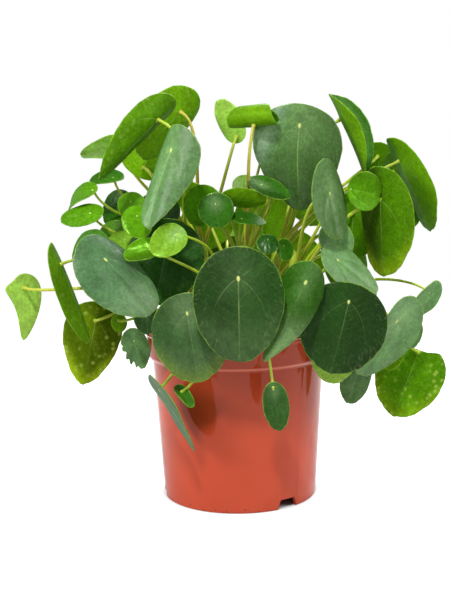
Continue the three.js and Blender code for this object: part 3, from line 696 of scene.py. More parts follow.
def blade_relief(leaf, turn, share):
    """How far the middle of the sheet is lifted: a dimple at the navel, valleys along the veins, shallower on
    a young leaf, and three slow waves whose places differ from leaf to leaf."""
    along, across, arch = vein_lines(leaf, turn, share)[:3]
    size = leaf.size
    radius = np.hypot(along, across)
    draw = np.random.default_rng(leaf.number).uniform(0, 2 * np.pi, 3)
    ahead = np.clip(along / (0.1 * leaf.length), 0, 1)
    deep = size if leaf.large else 0.4 * size
    relief = -0.8 * size * valley(radius, 5.5 * size) - deep * ahead * valley(across, 5.0 * size)
    relief -= 0.8 * deep * valley(arch, 5.0 * size) * np.clip(1.2 - share, 0, 1) * np.clip(share / 0.3, 0, 1)
    relief += 0.9 * size * share**2 * np.sin(2 * turn + draw[0])
    relief += 0.5 * size * share**3 * np.sin(5 * turn + draw[1])
    slow = np.sin(along / (9 * size) + draw[2]) * np.sin(across / (8 * size) + draw[1])
    relief += 0.35 * size * slow * share
    return relief * (0.25 if leaf.number in FLATTER else 1.0)


EVENED = {4: 15, 12: 16}  # how far round, in degrees, a leaf's outline is evened out
# where round the outline, half its width in degrees, how deep as a share of the radius
BITES = {53: ((-14, 5, 0.1), (-34, 7, 0.22), (-58, 6, 0.16), (-80, 8, 0.24), (-106, 5, 0.12))}


def blade_rings(leaf, turn, share, above):
    """Rings of the blade. Its edge is ragged by three waves round the outline, and on one leaf by bites: each
    takes a bell curve of the turn off the radius, the more the further out."""
    draw = np.random.default_rng(100 + leaf.number).uniform(0, 2 * np.pi, 3)
    nibble = 0.006 * np.sin(9 * turn + draw[0]) + 0.004 * np.sin(17 * turn + draw[1])
    nibble = nibble + 0.003 * np.sin(29 * turn + draw[2])
    uneven = share * (1 + nibble * share**4)
    for place, reach, depth in BITES.get(leaf.number, ()):
        off = (np.degrees(turn) - place + 180) % 360 - 180
        uneven = uneven * (1 - depth * share**2 * valley(off, reach))
    return shaped_blade(leaf, turn, uneven, above + blade_relief(leaf, turn, share))


def evened_rings(leaf, turn, share, above):
    """The same rings, but on an evened leaf each point is the mean of its ring's points up to two reaches to
    either side, weighed by exp(-a^2 / 2) with a their distance in reaches. It rounds a tip and a notch."""
    reach = math.radians(EVENED.get(leaf.number, 0))
    if not reach:
        return blade_rings(leaf, turn, share, above)
    aside = np.linspace(-2, 2, 9)
    weights = np.exp(-(aside**2) / 2)
    rings = [w * blade_rings(leaf, turn + a * reach, share, above) for a, w in zip(aside, weights)]
    return sum(rings) / weights.sum()


def blade_shape(leaf):
    """The closed blade, from the pole on its upper face, over the edge, to the pole underneath."""
    share = np.concatenate([UPPER_SHARES, [1.0], UPPER_SHARES[::-1]])
    above = np.concatenate([UPPER_HALF, [0.0], -UPPER_HALF[::-1]])
    upper = np.concatenate([np.ones(len(UPPER_SHARES)), [0.5], np.zeros(len(UPPER_SHARES))])
    turn, share = np.meshgrid(even_turns(OUTLINE_SIDES), share)
    above, upper = np.broadcast_to(above[:, None], turn.shape), np.broadcast_to(upper[:, None], turn.shape)
    rings = evened_rings(leaf, turn, share, above)
    middle = np.zeros(1)
    lift = blade_relief(leaf, middle, middle)[0]
    poles = [shaped_blade(leaf, middle, middle, lift + half)[0] for half in (BLADE_HALF, -BLADE_HALF)]
    along, across, arch, rear, edge, comb = vein_lines(leaf, turn, share)
    top, back = leaf_colours(leaf, turn, share)
    colour = top * upper[..., None] + back * (1 - upper[..., None])
    size, radius = leaf.size, edge[0, 0] / (1 - share[0, 0])
    gloss, spots, veins = marks_of(leaf, "gloss", "spots", "veins")
    skin = np.stack(np.broadcast_arrays(gloss, upper * BLOOM[leaf.tone], spots), -1)
    clear = np.full(turn.shape + (3,), veins)
    return closed_shape(
        rings, *poles,
        flat=(np.stack([along, across, share], -1), (0, 0, 0), (0, 0, 0)),
        vein=(np.stack([arch, rear, comb], -1), (0, 0, 0), (0, 0, 0)),
        rim=(np.stack([edge, upper, np.full_like(edge, size)], -1), (radius, 1, size), (radius, 0, size)),
        paint=(colour, top[0, 0], back[0, 0]),
        skin=(skin, skin[0, 0], skin[-1, 0]),
        clear=(clear, clear[0, 0], clear[0, 0]),
    )

# %% [markdown]
# ## Leaf colours
# A painter would mix a few greens, give each leaf one of them, and then add what sets it apart. So the upper
# sides have nine shades by age, the backs five by how much light passes through, and a leaf that differs from
# its tone's shade is listed under its own. Marks are what single leaves show: a waxy halo round the navel, a
# painted sheen on one shoulder, a darker half that is painted shade for the fold and a neighbour's shadow, a
# pale far end of wax and painted sheen, a darker far end, a ripe yellow tip, raised pale spots, clear veins,
# and the gloss of a young leaf.

# %% Shades and marks
# the grey shades, slate, waxy and silvery, are the leaves' own grey-green with a painted sheen mixed in on
# blades that face up to the light
UPPER_SHADES = {
    "oldest": (28, 76, 10), "old": (30, 68, 14), "worn": (46, 82, 34), "leafy": (46, 102, 10),
    "slate": (72, 110, 67), "waxy": (78, 114, 56), "silvery": (102, 142, 84), "fresh": (84, 140, 10),
    "tender": (120, 164, 40),
}
BACK_SHADES = {
    "shaded": (52, 94, 4), "plain": (78, 126, 6), "olive": (96, 122, 6), "lit": (102, 150, 10),
    "pale": (156, 188, 82),
}
UPPER_OF_TONE = {"dark": "old", "grey": "waxy", "green": "leafy", "bright": "tender"}
BACK_OF_TONE = {"dark": "plain", "grey": "lit", "green": "lit", "bright": "pale"}
UPPER_LISTS = {
    "oldest": (6, 74), "old": (1, 3), "worn": (2, 52, 54, 82), "leafy": (4, 57, 60, 67, 71, 73, 75, 81),
    "slate": (5, 10), "waxy": (14, 21, 25), "silvery": (7, 8, 18, 53, 77, 78),
    "fresh": (51, 58, 59, 61, 62, 63, 66, 76), "tender": (50, 56, 72),
}
BACK_LISTS = {
    "shaded": (31,), "plain": (13, 16, 27, 28, 29, 30), "olive": (11,),
    "lit": (9, 17, 20, 22, 24, 26, 33, 34, 35, 41), "pale": (12, 19, 23),
}
BLOOM = {"dark": 0.7, "grey": 1.0, "green": 0.25, "bright": 0.1}  # how waxy the upper side is
MARKS = {
    1: {"halo": 0.1, "half": -0.3, "far": 0.1, "veins": 0.8}, 2: {"halo": 0.3, "far": 0.12, "ripe": 0.2},
    3: {"half": 0.4}, 4: {"halo": 0.2, "half": 0.4, "far": 0.4}, 5: {"far": 0.3, "gloss": 0.15},
    7: {"far": 0.2}, 8: {"halo": 0.5}, 9: {"spots": 0.5}, 11: {"spots": 1.0, "ripe": 0.8, "half": -0.4},
    13: {"spots": 0.8, "ripe": 0.3}, 14: {"halo": 0.3}, 16: {"spots": 0.3, "half": -0.2},
    17: {"spots": 0.3}, 25: {"halo": 0.25, "half": 0.15},
    18: {"halo": 0.25, "half": 0.3, "gloss": 0.35, "veins": 0.5},
    21: {"halo": 0.25, "painted_sheen_shoulder": 0.5, "half": 0.2, "far": -0.25, "gloss": 0.7, "veins": 1.4},
    26: {"far": -0.1}, 27: {"half": 0.7, "ripe": 0.4, "veins": 0.3}, 50: {"halo": 0.5, "gloss": 0.9},
    51: {"half": 0.4, "gloss": 0.7}, 52: {"halo": 0.3},
    57: {"gloss": 0.4}, 58: {"gloss": 0.5}, 59: {"gloss": 0.5}, 60: {"gloss": 0.5},
    62: {"gloss": 0.9}, 66: {"gloss": 0.5}, 67: {"halo": 0.4, "gloss": 0.9}, 70: {"gloss": 0.4},
    71: {"halo": 0.4, "half": -0.4, "gloss": 0.5}, 74: {"gloss": 0.5}, 75: {"gloss": 0.9},
    76: {"half": 0.2, "gloss": 0.5}, 82: {"halo": 0.2},
}
# the pale wax of the halo, also laid as painted sheen on a pale far end; a ripe yellow; and a painted sheen
WAX_AND_SHEEN, RIPE, PAINTED_SHEEN = (np.array(linear(*c)) for c in ((150, 178, 128), (164, 186, 24), (190, 210, 200)))


def shade_of(leaf, lists, of_tone):
    """The shade whose list names the leaf, else the one that goes with its tone."""
    named = [shade for shade, numbers in lists.items() if leaf.number in numbers]
    return named[0] if named else of_tone[leaf.tone]


def marks_of(leaf, *names):
    """The leaf's marks of those names, 0 where it has none."""
    return [MARKS.get(leaf.number, {}).get(name, 0.0) for name in names]


def smooth(value, low, high):
    """0 below low, 1 above high, and 3 t^2 - 2 t^3 between, with t the share of the way."""
    t = np.clip((value - low) / (high - low), 0, 1)
    return 3 * t**2 - 2 * t**3


def leaf_colours(leaf, turn, share):
    """Upper and lower colour at each point: the leaf's shade, a little lighter or darker leaf by leaf and
    towards the navel, then darkened on one half, which is painted shade, and at the far end, then blended
    with wax, which at a pale far end is painted sheen as well, with yellow, and with a painted sheen on one
    shoulder.
    Each blend's share is a bell curve or a smooth step of the place along and across the leaf."""
    halo, half, far, ripe, painted_sheen_shoulder = marks_of(leaf, "halo", "half", "far", "ripe", "painted_sheen_shoulder")
    along, across = flat_blade(leaf, turn, share)
    along, across = along / leaf.length, across / leaf.width
    lighter = np.random.default_rng(200 + leaf.number).uniform(0.93, 1.07) * (1.06 - 0.12 * share)
    # painted shade: one half of the blade darker, for its fold away from the light and a neighbour's shadow
    lighter = lighter * (1 - abs(half) * smooth(np.sign(half) * across, -0.12, 0.2))
    lighter = lighter * (1 - max(-far, 0) * smooth(along, 0.1, 0.55))
    waxy = halo * np.exp(-(((along + 0.02) / 0.24) ** 2) - (across / 0.2) ** 2)
    # wax and painted sheen: the far end paler, for its bloom and for the light it catches where it turns up
    waxy = np.maximum(waxy, max(far, 0) * smooth(along, 0.15, 0.6))
    yellow = ripe * smooth(share, 0.7, 1.0) * smooth(along, 0.2, 0.6)
    # painted sheen: a pale blue-white highlight along one shoulder, where a lamp mirrors in the wax
    painted_sheen = painted_sheen_shoulder * np.exp(-(((along - 0.02) / 0.3) ** 2) - ((across + 0.33 + 0.3 * along) / 0.1) ** 2)
    top = UPPER_SHADES[shade_of(leaf, UPPER_LISTS, UPPER_OF_TONE)]
    back = BACK_SHADES[shade_of(leaf, BACK_LISTS, BACK_OF_TONE)]
    made = []
    for shade in (top, back):
        colour = np.array(linear(*shade)) * lighter[..., None]
        for amount, other in ((waxy, WAX_AND_SHEEN), (yellow, RIPE), (painted_sheen, PAINTED_SHEEN)):
            colour = colour * (1 - amount[..., None]) + other * amount[..., None]
        colour[..., 3] = 1
        made.append(colour)
    return made


print("old leaf's upper side:", np.round(linear(*UPPER_SHADES["old"]), 3))

# %% [markdown]
# ## The leaf finish
# Seen close, a leaf of this plant is waxy. It has a pale dot over its stalk, a fine pale midrib, two arched
# side veins, a thin light margin, and flecks that are stronger on the back. The distances kept with the
# points give crisp lines at any size. Patches of three sizes of noise, from 2 mm to 2 cm, keep the green from
# looking flat. A little light passes through the thin sheet, so a translucent share is mixed in.

# %% Leaf material
PALE_GREEN, SPOT_GREEN, NAVEL_GREEN, MARGIN_GREEN = (
    linear(*c) for c in ((196, 216, 140), (172, 188, 84), (222, 228, 140), (150, 186, 60))
)
GLOSS_TINT, THROUGH_TINT = (0.45, 0.9, 0.06, 1.0), (1.5, 1.7, 0.25, 1.0)
THROUGH = 0.34  # the share of light that passes through a blade


def leaf_shader(tree):
    """Reads a blade's notes: flat, vein, rim, paint, skin and clear. Heights of its relief are in mm."""
    along, across, share = note(tree, "flat").parts()
    arch, rear, comb = note(tree, "vein").parts()
    edge, upper, size = note(tree, "rim").parts()
    gloss, bloom, spots = note(tree, "skin").parts()
    paint, clear = note(tree, "paint", "Color"), note(tree, "clear", "Fac")
    place = object_place(tree)
    broad, middling, fine = noise(place, 55, 4), noise(place, 170, 3), noise(place, 420, 3)

    def line(distance, near, far, fade):
        """1 within near mm of the line, 0 beyond far mm, times fade."""
        return (distance.calc("ABSOLUTE") / size).ramp(near, far, 1.0, 0.0) * fade

    def by_side(back, top):
        """One value on the back and another on the upper side."""
        return upper.ramp(0.4, 0.6, back, top)

    # the lines of the veins, and the wider valleys that the two strongest lie in
    ahead = along.ramp(0.0, 2.0)
    midrib = line(across, 0.1, 0.75, ahead * share.ramp(0.2, 0.95, 1.0, 0.1))
    arches = line(arch, 0.1, 0.6, share.ramp(0.3, 0.85, 0.5, 0.0))
    rears = line(rear, 0.1, 0.5, share.ramp(0.2, 0.6, 0.3, 0.0))
    main = midrib.calc("MAXIMUM", arches.calc("MAXIMUM", rears)) * broad.ramp(0.35, 0.62, 0.35, 1.0)
    groove = line(across, 0.0, 6.0, ahead * share.ramp(0.5, 1.0, 1.0, 0.2))
    furrow = line(arch, 0.0, 5.0, share.ramp(0.4, 1.0, 0.8, 0.0))
    wave = ((comb + broad * 9.0) * 0.5).calc("SINE").calc("ABSOLUTE")
    net = wave.ramp(0.0, 0.14, 1.0, 0.0) * share.ramp(0.2, 0.9, 1.0, 0.3)

    # flecks, raised spots, and streaks that run outwards like spokes
    cells = signal(tree, "TexVoronoi", {"Vector": place, "Scale": 300}, "Distance", feature="F1")
    fleck = cells.ramp(0.06, 0.26, 1.0, 0.0) * fine.ramp(0.45, 0.62)
    blisters = add_node(tree, "TexVoronoi", {"Vector": place, "Scale": 175}, feature="F1").outputs
    raised = Signal(blisters["Color"]).parts()[0].ramp(0.1, 0.7) * share.ramp(0.25, 0.6)
    blister = Signal(blisters["Distance"]).ramp(0.05, 0.5, 1.0, 0.0) * raised * spots
    spokes = add_node(tree, "CombineXYZ", {0: across.calc("ARCTAN2", along) * 9.0, 1: share * 5.0})
    spokes = signal(tree, "VectorMath", {0: spokes, 1: place}, operation="ADD")
    streak = noise(spokes, 2.6, 3).ramp(0.5, 0.8) * share.ramp(0.5, 1.0, 0.05, 1.0)

    # the leaf's paint, mottled, and then each mark over it
    mottle = broad.ramp(0.35, 0.68, 0.9, 1.1) * middling.ramp(0.35, 0.68, 0.92, 1.08)
    mottle = mottle * fine.ramp(0.35, 0.65, 0.88, 1.12)
    mottle = add_node(tree, "CombineColor", {0: mottle, 1: mottle, 2: mottle})
    pale = blend(0.4, paint, PALE_GREEN)
    drop = ((along - 0.6) / 1.6).calc("POWER", 2.0) + across.calc("POWER", 2.0)
    dot = (drop.calc("SQRT") / size).ramp(0.7, 1.7, 1.0, 0.0)
    notched = edge + broad.ramp(0.4, 0.6, -0.3, 0.5) * 0.8 - fine * 0.6
    margin = notched.ramp(0.0, 0.7, 0.6, 0.0) * middling.ramp(0.4, 0.6, 0.4, 1.0)
    drawn = (main * by_side(0.8, 0.4) * (clear + 1.0)).calc("MINIMUM", 0.95)
    colour = blend(1.0, paint, mottle, "MULTIPLY")
    for amount, over in (
        (fleck * by_side(0.5, 0.16), pale), (net * by_side(0.24, 0.12), pale), (streak * 0.3, pale),
        (blister * 0.8, SPOT_GREEN), (drawn, pale), (dot * 0.95, NAVEL_GREEN), (margin, MARGIN_GREEN),
    ):
        colour = blend(amount, colour, over)

    # the relief: grain and spots stand up, veins are cut in
    height = fine * 0.16 + broad * 0.5 + middling * bloom.ramp(0.5, 1.0, 0.3, 0.7) + blister * 0.35
    matt = gloss.ramp(0.0, 0.5, 1.0, 0.0)
    for shape, depth in (
        (main, 0.25), (groove, 0.5), (furrow, 0.35), (net * matt, 0.08), (streak * matt, -0.1),
    ):
        height = height - shape * (size * depth)
    normal = bump(height * gloss.ramp(0.0, 1.0, 1.0, 0.3), 1.0, 0.001)
    wax = add_node(tree, "BsdfPrincipled", {
        "Base Color": colour, "Roughness": fine.ramp(0.3, 0.7, 0.36, 0.46) - gloss * 0.24, "Normal": normal,
        "IOR": 1.45, "Specular IOR Level": 0.36, "Specular Tint": blend(bloom, GLOSS_TINT, WHITE),
    })
    light_through = blend(1.0, colour, THROUGH_TINT, "MULTIPLY")
    glow = add_node(tree, "BsdfTranslucent", {"Color": light_through, "Normal": normal})
    return add_node(tree, "MixShader", {0: THROUGH, 1: wax, 2: glow})


leaf_finish = new_material("leaf", leaf_shader)
print("leaf finish:", len(leaf_finish.node_tree.nodes), "nodes")

# %% [markdown]
# ## The blades in place
# Each large blade stands for its own solid. The small and young ones are part of their shoot's solid, so they
# are joined into one piece for each shoot.

# %% Make the blades
large = [leaf for leaf in leaves if leaf.large]
for leaf in large:
    make_piece(f"{leaf.name}_blade", blade_shape(leaf), leaf_finish, [leaf.name])
for shoot in SHOOTS:
    small = [blade_shape(leaf) for leaf in leaves if leaf.shoot == shoot and not leaf.large]
    if small:
        make_piece(f"young_leaves_{shoot}", joined(small), leaf_finish, [f"shoot_{shoot}"])
blades = [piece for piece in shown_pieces() if "blade" in piece.name]
print(len(large), "large blades of", len(blades[0].data.polygons), "faces each")

# %% [markdown]
# ## Finished stalks and trunks
# A stalk is a round tube along its curve, thicker at its root and again where it spreads into the blade. The
# trunk is woody: brown, ringed with the scars of fallen leaves, and closed by a green growing tip.

# %% Stem surfaces
STALK_STEPS, STALK_SIDES = 26, 12
TRUNK_STEPS, TRUNK_SIDES = 48, 20
TAN = {12: 0.35, 16: 0.25, 17: 0.6, 20: 0.3, 22: 0.55, 23: 0.3}  # how tan a leaf's stalk is, else 0.1


def tube(handles, shares, radius, sides, seed, wood):
    """A tube along a Bezier curve. Each ring lies across the curve: its two axes are square to the curve's
    direction, and one of them lies in the curve's own upright plane. radius is an array, ring by ring."""
    middle, way = bezier(handles, even_steps(handles, shares))
    lean = handles[3] - handles[0]
    flat = np.array([lean[1], -lean[0], 0.0])
    flat = flat / np.linalg.norm(flat) if np.linalg.norm(flat) > 1e-6 else np.array([1.0, 0, 0])
    first = np.cross(flat, way)
    first /= np.linalg.norm(first, axis=1, keepdims=True)
    second = np.cross(way, first)
    turn = even_turns(sides)
    round_it = np.cos(turn)[None, :, None] * first[:, None] - np.sin(turn)[None, :, None] * second[:, None]
    rings = middle[:, None] + radius[:, None, None] * round_it
    kept = np.stack(np.broadcast_arrays(shares[:, None], seed, wood), -1) * np.ones((1, sides, 1))
    return closed_shape(rings, middle[0], middle[-1], stalk=(kept, kept[0, 0], kept[-1, 0]))


def stalk_shape(leaf):
    """A stalk narrows from 2.1 to 1.25 mm, with a bell-shaped swelling at each end. It ends inside the sheet,
    which dips at the navel by 0.8 mm on a 90 mm leaf."""
    handles = stalk_handles(leaf, leaf.bow, 0.8 * leaf.size)
    length = np.linalg.norm(handles[3] - handles[0])
    share = 0.5 - 0.5 * np.cos(np.linspace(0, np.pi, STALK_STEPS))
    radius = STALK_RADIUS - STALK_TAPER * share
    radius += 0.7 * valley(share * length, 5) + 0.8 * valley((1 - share) * length, 3)
    seed = np.random.default_rng(300 + leaf.number).uniform()
    radius = radius * (1.0 if leaf.large else 0.85)
    return tube(handles, share, radius, STALK_SIDES, seed, TAN.get(leaf.number, 0.1))


def trunk_shape(shoot):
    """A trunk narrows from 6.6 to 4.6 mm. Scars ring it every 6 mm, and its tip closes in a dome."""
    handles = trunk_handles(shoot)
    share = np.linspace(0, 1, TRUNK_STEPS)
    length = np.linalg.norm(handles[3] - handles[0])
    radius = 6.6 - 2.0 * share + 0.35 * np.sin(2 * np.pi * share * length / 6) ** 3
    radius = radius * np.sqrt(np.clip((1.0 - share) / 0.05, 0.02, 1))
    return tube(handles, share, radius, TRUNK_SIDES, 0.5, 1.0)


def stem_shader(tree):
    """Reads the note stalk: share along the stem, a number of its own, and how woody it is."""
    share, seed, wood = note(tree, "stalk").parts()
    place = object_place(tree)
    long_way = signal(tree, "Mapping", {"Vector": place, "Scale": (1, 1, 0.25)})
    fine, broad = noise(long_way, 700, 3), noise(place, 60, 3)
    young = blend(share.ramp(0.1, 0.9), linear(162, 168, 34), linear(152, 174, 56))
    young = blend(seed.ramp(0.0, 1.0, 0.0, 0.6), young, linear(140, 180, 20))
    tan = blend(broad.ramp(0.3, 0.7), linear(162, 142, 60), linear(156, 152, 58))
    bark = blend(fine.ramp(0.35, 0.65), linear(104, 90, 26), linear(148, 142, 44))
    trunk = wood.ramp(0.8, 1.0)
    colour = blend(trunk, blend(wood.ramp(0.0, 0.7), young, tan), bark)
    colour = blend(trunk * share.ramp(0.7, 0.95), colour, young)
    colour = blend(fine.ramp(0.4, 0.75, 0.0, 0.25), colour, linear(206, 206, 90))
    return add_node(tree, "BsdfPrincipled", {
        "Base Color": colour, "Roughness": wood.ramp(0.0, 1.0, 0.36, 0.7), "Normal": bump(fine, 0.35, 0.0005),
        "Specular Tint": (1.0, 0.95, 0.4, 1.0),
        "Subsurface Weight": 0.3, "Subsurface Radius": (1.0, 1.0, 0.3), "Subsurface Scale": 0.002,
    })


stem_finish = new_material("stem", stem_shader)
for shoot in SHOOTS:
    stalks = [stalk_shape(leaf) for leaf in leaves if leaf.shoot == shoot]
    shape = joined([trunk_shape(shoot), *stalks])
    make_piece(f"stems_{shoot}", shape, stem_finish, [f"shoot_{shoot}"])
print(len(leaves), "stalks on", len(SHOOTS), "trunks")

# %% [markdown]
# ## The pot
# The pot is one thin moulding. Its section is a line of points that starts under the middle, runs out and up
# the outside, over the rim and down inside. Every corner is rounded, because a mould can't make a sharp one
# and a round one catches the light. The section is then carried round. Four notches let water out under the
# foot: there the foot's lower points are simply pushed up. Six round holes in the floor are cut by a boolean,
# which is worked out once, so that the finished mesh is plain.

# %% Pot section
FOOT_RADIUS, FLOOR_Z, COLLAR_Z, RIM_Z = 71.5, 11.6, 132.4, 157.0
FOOT_Z, INNER_RADIUS = 9.6, 68.1  # inside the foot ring: the hollow's height and how far it reaches
NOTCH_Z, NOTCH_TOP_Z, NOTCH_WIDTH = 8.6, 12.0, 20.0
NOTCH_AZIMUTHS = np.radians([-53, 7, 127, 187])
POT_SIDES = 168
# radius, height, rounding
SECTION = [
    (34.0, 0.0, 0.8), (37.0, FOOT_Z, 1.2), (INNER_RADIUS, FOOT_Z, 1.0), (INNER_RADIUS, 0.0, 0.6),
    (FOOT_RADIUS, 0.0, 1.1), (79.75, 130.4, 1.3), (82.7, 131.7, 0.5), (84.2, 134.4, 0.6), (84.9, 153.4, 0.9),
    (86.4, 154.6, 0.5), (86.4, RIM_Z, 1.0), (83.1, RIM_Z, 0.7), (82.6, 135.4, 1.2), (77.6, 128.4, 1.6),
    (70.3, FLOOR_Z, 1.6), (32.0, FLOOR_Z, 1.0), (29.0, 2.0, 1.0),
]
ARC_POINTS = 5
CORNER_POINTS = ARC_POINTS + 2


def rounded(section):
    """The section with each corner C replaced by a curve from A to B, which lie at the rounding's distance on
    either side: (1-t)^2 A + 2t(1-t) C + t^2 B. One more point beyond each end keeps the flats flat."""
    corner, size = np.array(section)[:, :2], np.array(section)[:, 2:]
    around = np.concatenate([[[0.0, corner[0, 1]]], corner, [[0.0, corner[-1, 1]]]])
    back, ahead = around[:-2] - corner, around[2:] - corner
    back = back / np.linalg.norm(back, axis=1, keepdims=True) * size
    ahead = ahead / np.linalg.norm(ahead, axis=1, keepdims=True) * size
    start, end, corner = (corner + back)[:, None], (corner + ahead)[:, None], corner[:, None]
    t = np.linspace(0, 1, ARC_POINTS)[None, :, None]
    arc = (1 - t) ** 2 * start + 2 * t * (1 - t) * corner + t**2 * end
    before, after = corner + back[:, None] * 1.4, corner + ahead[:, None] * 1.4
    return np.concatenate([before, arc, after], axis=1).reshape(-1, 2)


profile = rounded(SECTION)
print("pot section of", len(profile), "points")

# %% Pot surface
def pot_shape():
    """The section carried round: x = r cos(turn), y = r sin(turn). In a notch, a height z under 12 mm on the
    outside becomes 8.6 + z (12 - 8.6) / 12, and under 9.6 mm inside the foot it is squeezed the same way. Two
    more turns close together on either side of a notch make its ends steep."""
    half_turn = math.asin(NOTCH_WIDTH / 2 / FOOT_RADIUS)
    ends = NOTCH_AZIMUTHS[:, None] + np.array([-1, -0.985, 0.985, 1]) * half_turn
    turn = np.concatenate([even_turns(POT_SIDES), ends.ravel()])
    turn = -np.unique(np.round(turn % (2 * np.pi), 6))
    radius, height = profile[:, :1] * np.ones(len(turn)), profile[:, 1:] * np.ones(len(turn))
    off = np.abs((turn[:, None] - NOTCH_AZIMUTHS + np.pi) % (2 * np.pi) - np.pi).min(1)
    notched = (off < 0.99 * half_turn)[None, :]
    corner = np.arange(len(profile))[:, None] // CORNER_POINTS
    # the outside has the section's corners 4 to 7, the foot's inside 2 and 3
    for top, first, last in ((NOTCH_TOP_Z, 4, 7), (FOOT_Z, 2, 3)):
        low = notched & (corner >= first) & (corner <= last) & (height < top)
        height = np.where(low, NOTCH_Z + height * (top - NOTCH_Z) / top, height)
    rings = np.stack([radius * np.cos(turn), radius * np.sin(turn), height], -1)
    return closed_shape(rings, (0, 0, 0), (0, 0, 2.0))


def pot_shader(tree):
    """Glossy moulded plastic: an even terracotta red, with a faint grain and wide slow waves in its gloss. A
    painted highlight runs pale along the collar's lower edge and the rim, and specks of soil cling to it at
    the foot."""
    place = object_place(tree)
    broad, specks, grain = noise(place, 14, 3), noise(place, 420, 4), noise(place, 900, 2)
    up = place.parts()[2]
    dirt = specks.ramp(0.6, 0.68) * up.ramp(0.001, 0.012, 0.8, 0.0)
    # painted highlight: a pale line along the collar's rounded lower edge and along the rim, where they catch
    # the light
    painted_edge_highlight = (up - (COLLAR_Z + 0.4) * MM).calc("ABSOLUTE").ramp(0.0004, 0.0018, 0.45, 0.0)
    painted_rim_highlight = up.ramp((RIM_Z - 1.6) * MM, RIM_Z * MM, 0.0, 0.4)
    colour = blend(broad.ramp(0.3, 0.7), linear(163, 59, 34), linear(171, 64, 38))
    colour = blend(dirt, colour, linear(74, 40, 24))
    # the painted highlight is laid over the red
    colour = blend(painted_edge_highlight.calc("MAXIMUM", painted_rim_highlight), colour, linear(232, 140, 116))
    return add_node(tree, "BsdfPrincipled", {
        "Base Color": colour, "Roughness": grain.ramp(0.3, 0.7, 0.05, 0.08),
        "Normal": bump(broad * 2.0 + grain * 0.06, 0.15, 0.0006),
        "IOR": 1.5, "Specular IOR Level": 0.28, "Specular Tint": (1.0, 0.92, 0.87, 1.0),
    })


pot = make_piece("nursery_pot", pot_shape(), new_material("pot_plastic", pot_shader), ["pot"])
print("pot of", len(pot.data.polygons), "faces")

# %% Drain holes
HOLE_RADIUS, HOLE_CIRCLE, HOLES = 4.0, 52.0, 6
PIN_LOW, PIN_HIGH = 7.0, 14.0


def punch_shapes():
    """One pin for each hole: a straight cylinder through the pot's floor, its ring at x = c + r cos(turn) and
    y = s + r sin(turn), where c and s place the pin on the circle of holes."""
    turn = -even_turns(32)
    pins = []
    for place in 2 * np.pi * (np.arange(HOLES) + 0.5) / HOLES:
        x, y = HOLE_CIRCLE * math.cos(place), HOLE_CIRCLE * math.sin(place)
        ring = x + HOLE_RADIUS * np.cos(turn), y + HOLE_RADIUS * np.sin(turn)
        rings = level_rings(*ring, (PIN_LOW, PIN_HIGH))
        pins.append(closed_shape(rings, (x, y, PIN_LOW), (x, y, PIN_HIGH)))
    return pins


pins = make_piece("pins", joined(punch_shapes()), pot.data.materials[0], ["pot"])
cut = pot.modifiers.new("drain_holes", "BOOLEAN")
cut.operation, cut.object, cut.solver = "DIFFERENCE", pins, "EXACT"
punched = bpy.data.meshes.new_from_object(pot.evaluated_get(bpy.context.evaluated_depsgraph_get()))
pot.modifiers.clear()
pot.data = punched
bpy.data.objects.remove(pins)
pot.data.set_sharp_from_angle(angle=math.radians(50))
print("pot with its holes:", len(pot.data.polygons), "faces")

# %% [markdown]
# ## The soil
# Potting soil is dark, matt and crumbly. The solid already fills the pot; here its top gets lumps from a sum
# of waves that run every way, and loose crumbs lie on it.

# %% Soil surface
SOIL_RINGS, SOIL_SIDES, CRUMBS = 52, 132, 420
SOIL_BODY = [(28.6, 2.3), (31.6, 11.95), (69.9, 11.95), (77.2, 128.4), (77.2, 139.5)]  # radius, height
SOIL_REACH, CRUMB_REACH = 76.6, 75.0


def lumps(x, y, longest, count, seed):
    """A sum of waves in random directions, each shorter and lower than the one before."""
    draw = np.random.default_rng(seed)
    way, start = draw.uniform(0, 2 * np.pi, (2, count))
    tall = 0.8 ** np.arange(count)
    run = (x[..., None] * np.cos(way) + y[..., None] * np.sin(way)) * 2 * np.pi / (longest * tall)
    return (np.sin(run + start) * tall).sum(-1) / tall.sum()


def soil_rise(x, y):
    """How far the soil's top stands over its mean level: wide low swells and short steep lumps."""
    return 1.6 * lumps(x, y, 60, 6, 1) + 2.4 * lumps(x, y, 14, 10, 2)


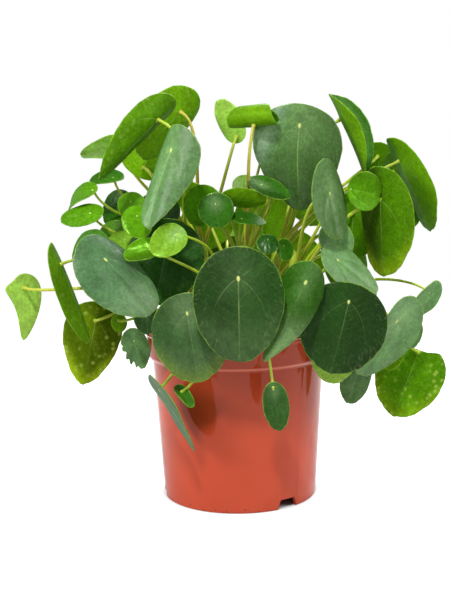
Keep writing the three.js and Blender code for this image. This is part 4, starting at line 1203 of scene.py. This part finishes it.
def soil_shape():
    """A round plug: its side is a straight taper, and its top is a disc of rings whose heights are lumps."""
    turn = -even_turns(SOIL_SIDES)
    side = np.array(SOIL_BODY)
    radius = np.concatenate([side[:, 0], np.linspace(SOIL_REACH, 1.2, SOIL_RINGS)])
    radius = radius[:, None] * np.ones(SOIL_SIDES)
    x, y = radius * np.cos(turn), radius * np.sin(turn)
    height = SOIL_Z - 0.6 + soil_rise(x, y)
    height[:len(side)] = side[:, 1:]
    rings = np.stack([x, y, height], -1)
    middle = 0, 0, height[-1].mean()
    return closed_shape(rings, (0, 0, 2.3), middle, crumb=(np.zeros(rings.shape), (0, 0, 0), (0, 0, 0)))


def crumb_shapes():
    """Loose crumbs: a ball of two rings of six points, each crumb squashed, turned and dented by a draw."""
    draw = np.random.default_rng(5)
    turn = -even_turns(6)
    plain = level_rings(0.85 * np.cos(turn), 0.85 * np.sin(turn), (-0.5, 0.5))
    shapes = []
    for _ in range(CRUMBS):
        reach, way = CRUMB_REACH * math.sqrt(draw.uniform()), draw.uniform(0, 2 * np.pi)
        size = draw.uniform(0.7, 2.4) * np.array([1, draw.uniform(0.6, 1), draw.uniform(0.5, 0.9)])
        ball = plain * draw.uniform(0.75, 1.15, (2, 6, 1)) * size
        x, y = reach * math.cos(way), reach * math.sin(way)
        z = SOIL_Z - 0.4 + float(soil_rise(np.array(x), np.array(y)))
        paint = np.array([1.0, draw.uniform(), 0])
        middle = np.array([x, y, z + size[2] * 0.4])
        poles = [middle + [0, 0, -size[2]], middle + [0, 0, size[2]]]
        notes = np.broadcast_to(paint, ball.shape), paint, paint
        shapes.append(closed_shape(ball + middle, *poles, crumb=notes))
    return shapes


def soil_shader(tree):
    """Dark brown, in crumbs and fibres, with a few pale grains."""
    _, draw, _ = note(tree, "crumb").parts()
    place = object_place(tree)
    fine = noise(place, 900, 5)
    cells = signal(tree, "TexVoronoi", {"Vector": place, "Scale": 420}, "Distance", feature="F1")
    colour = blend(fine.ramp(0.35, 0.7), linear(40, 28, 20), linear(92, 70, 50))
    colour = blend(draw.ramp(0.9, 0.95), colour, linear(200, 194, 180))
    normal = bump(fine + cells * 0.8, 0.9, 0.0012)
    return add_node(tree, "BsdfPrincipled", {"Base Color": colour, "Roughness": 0.95, "Normal": normal})


soil_finish = new_material("soil", soil_shader)
make_piece("potting_soil", joined([soil_shape(), *crumb_shapes()]), soil_finish, ["soil"])
print("soil laid")
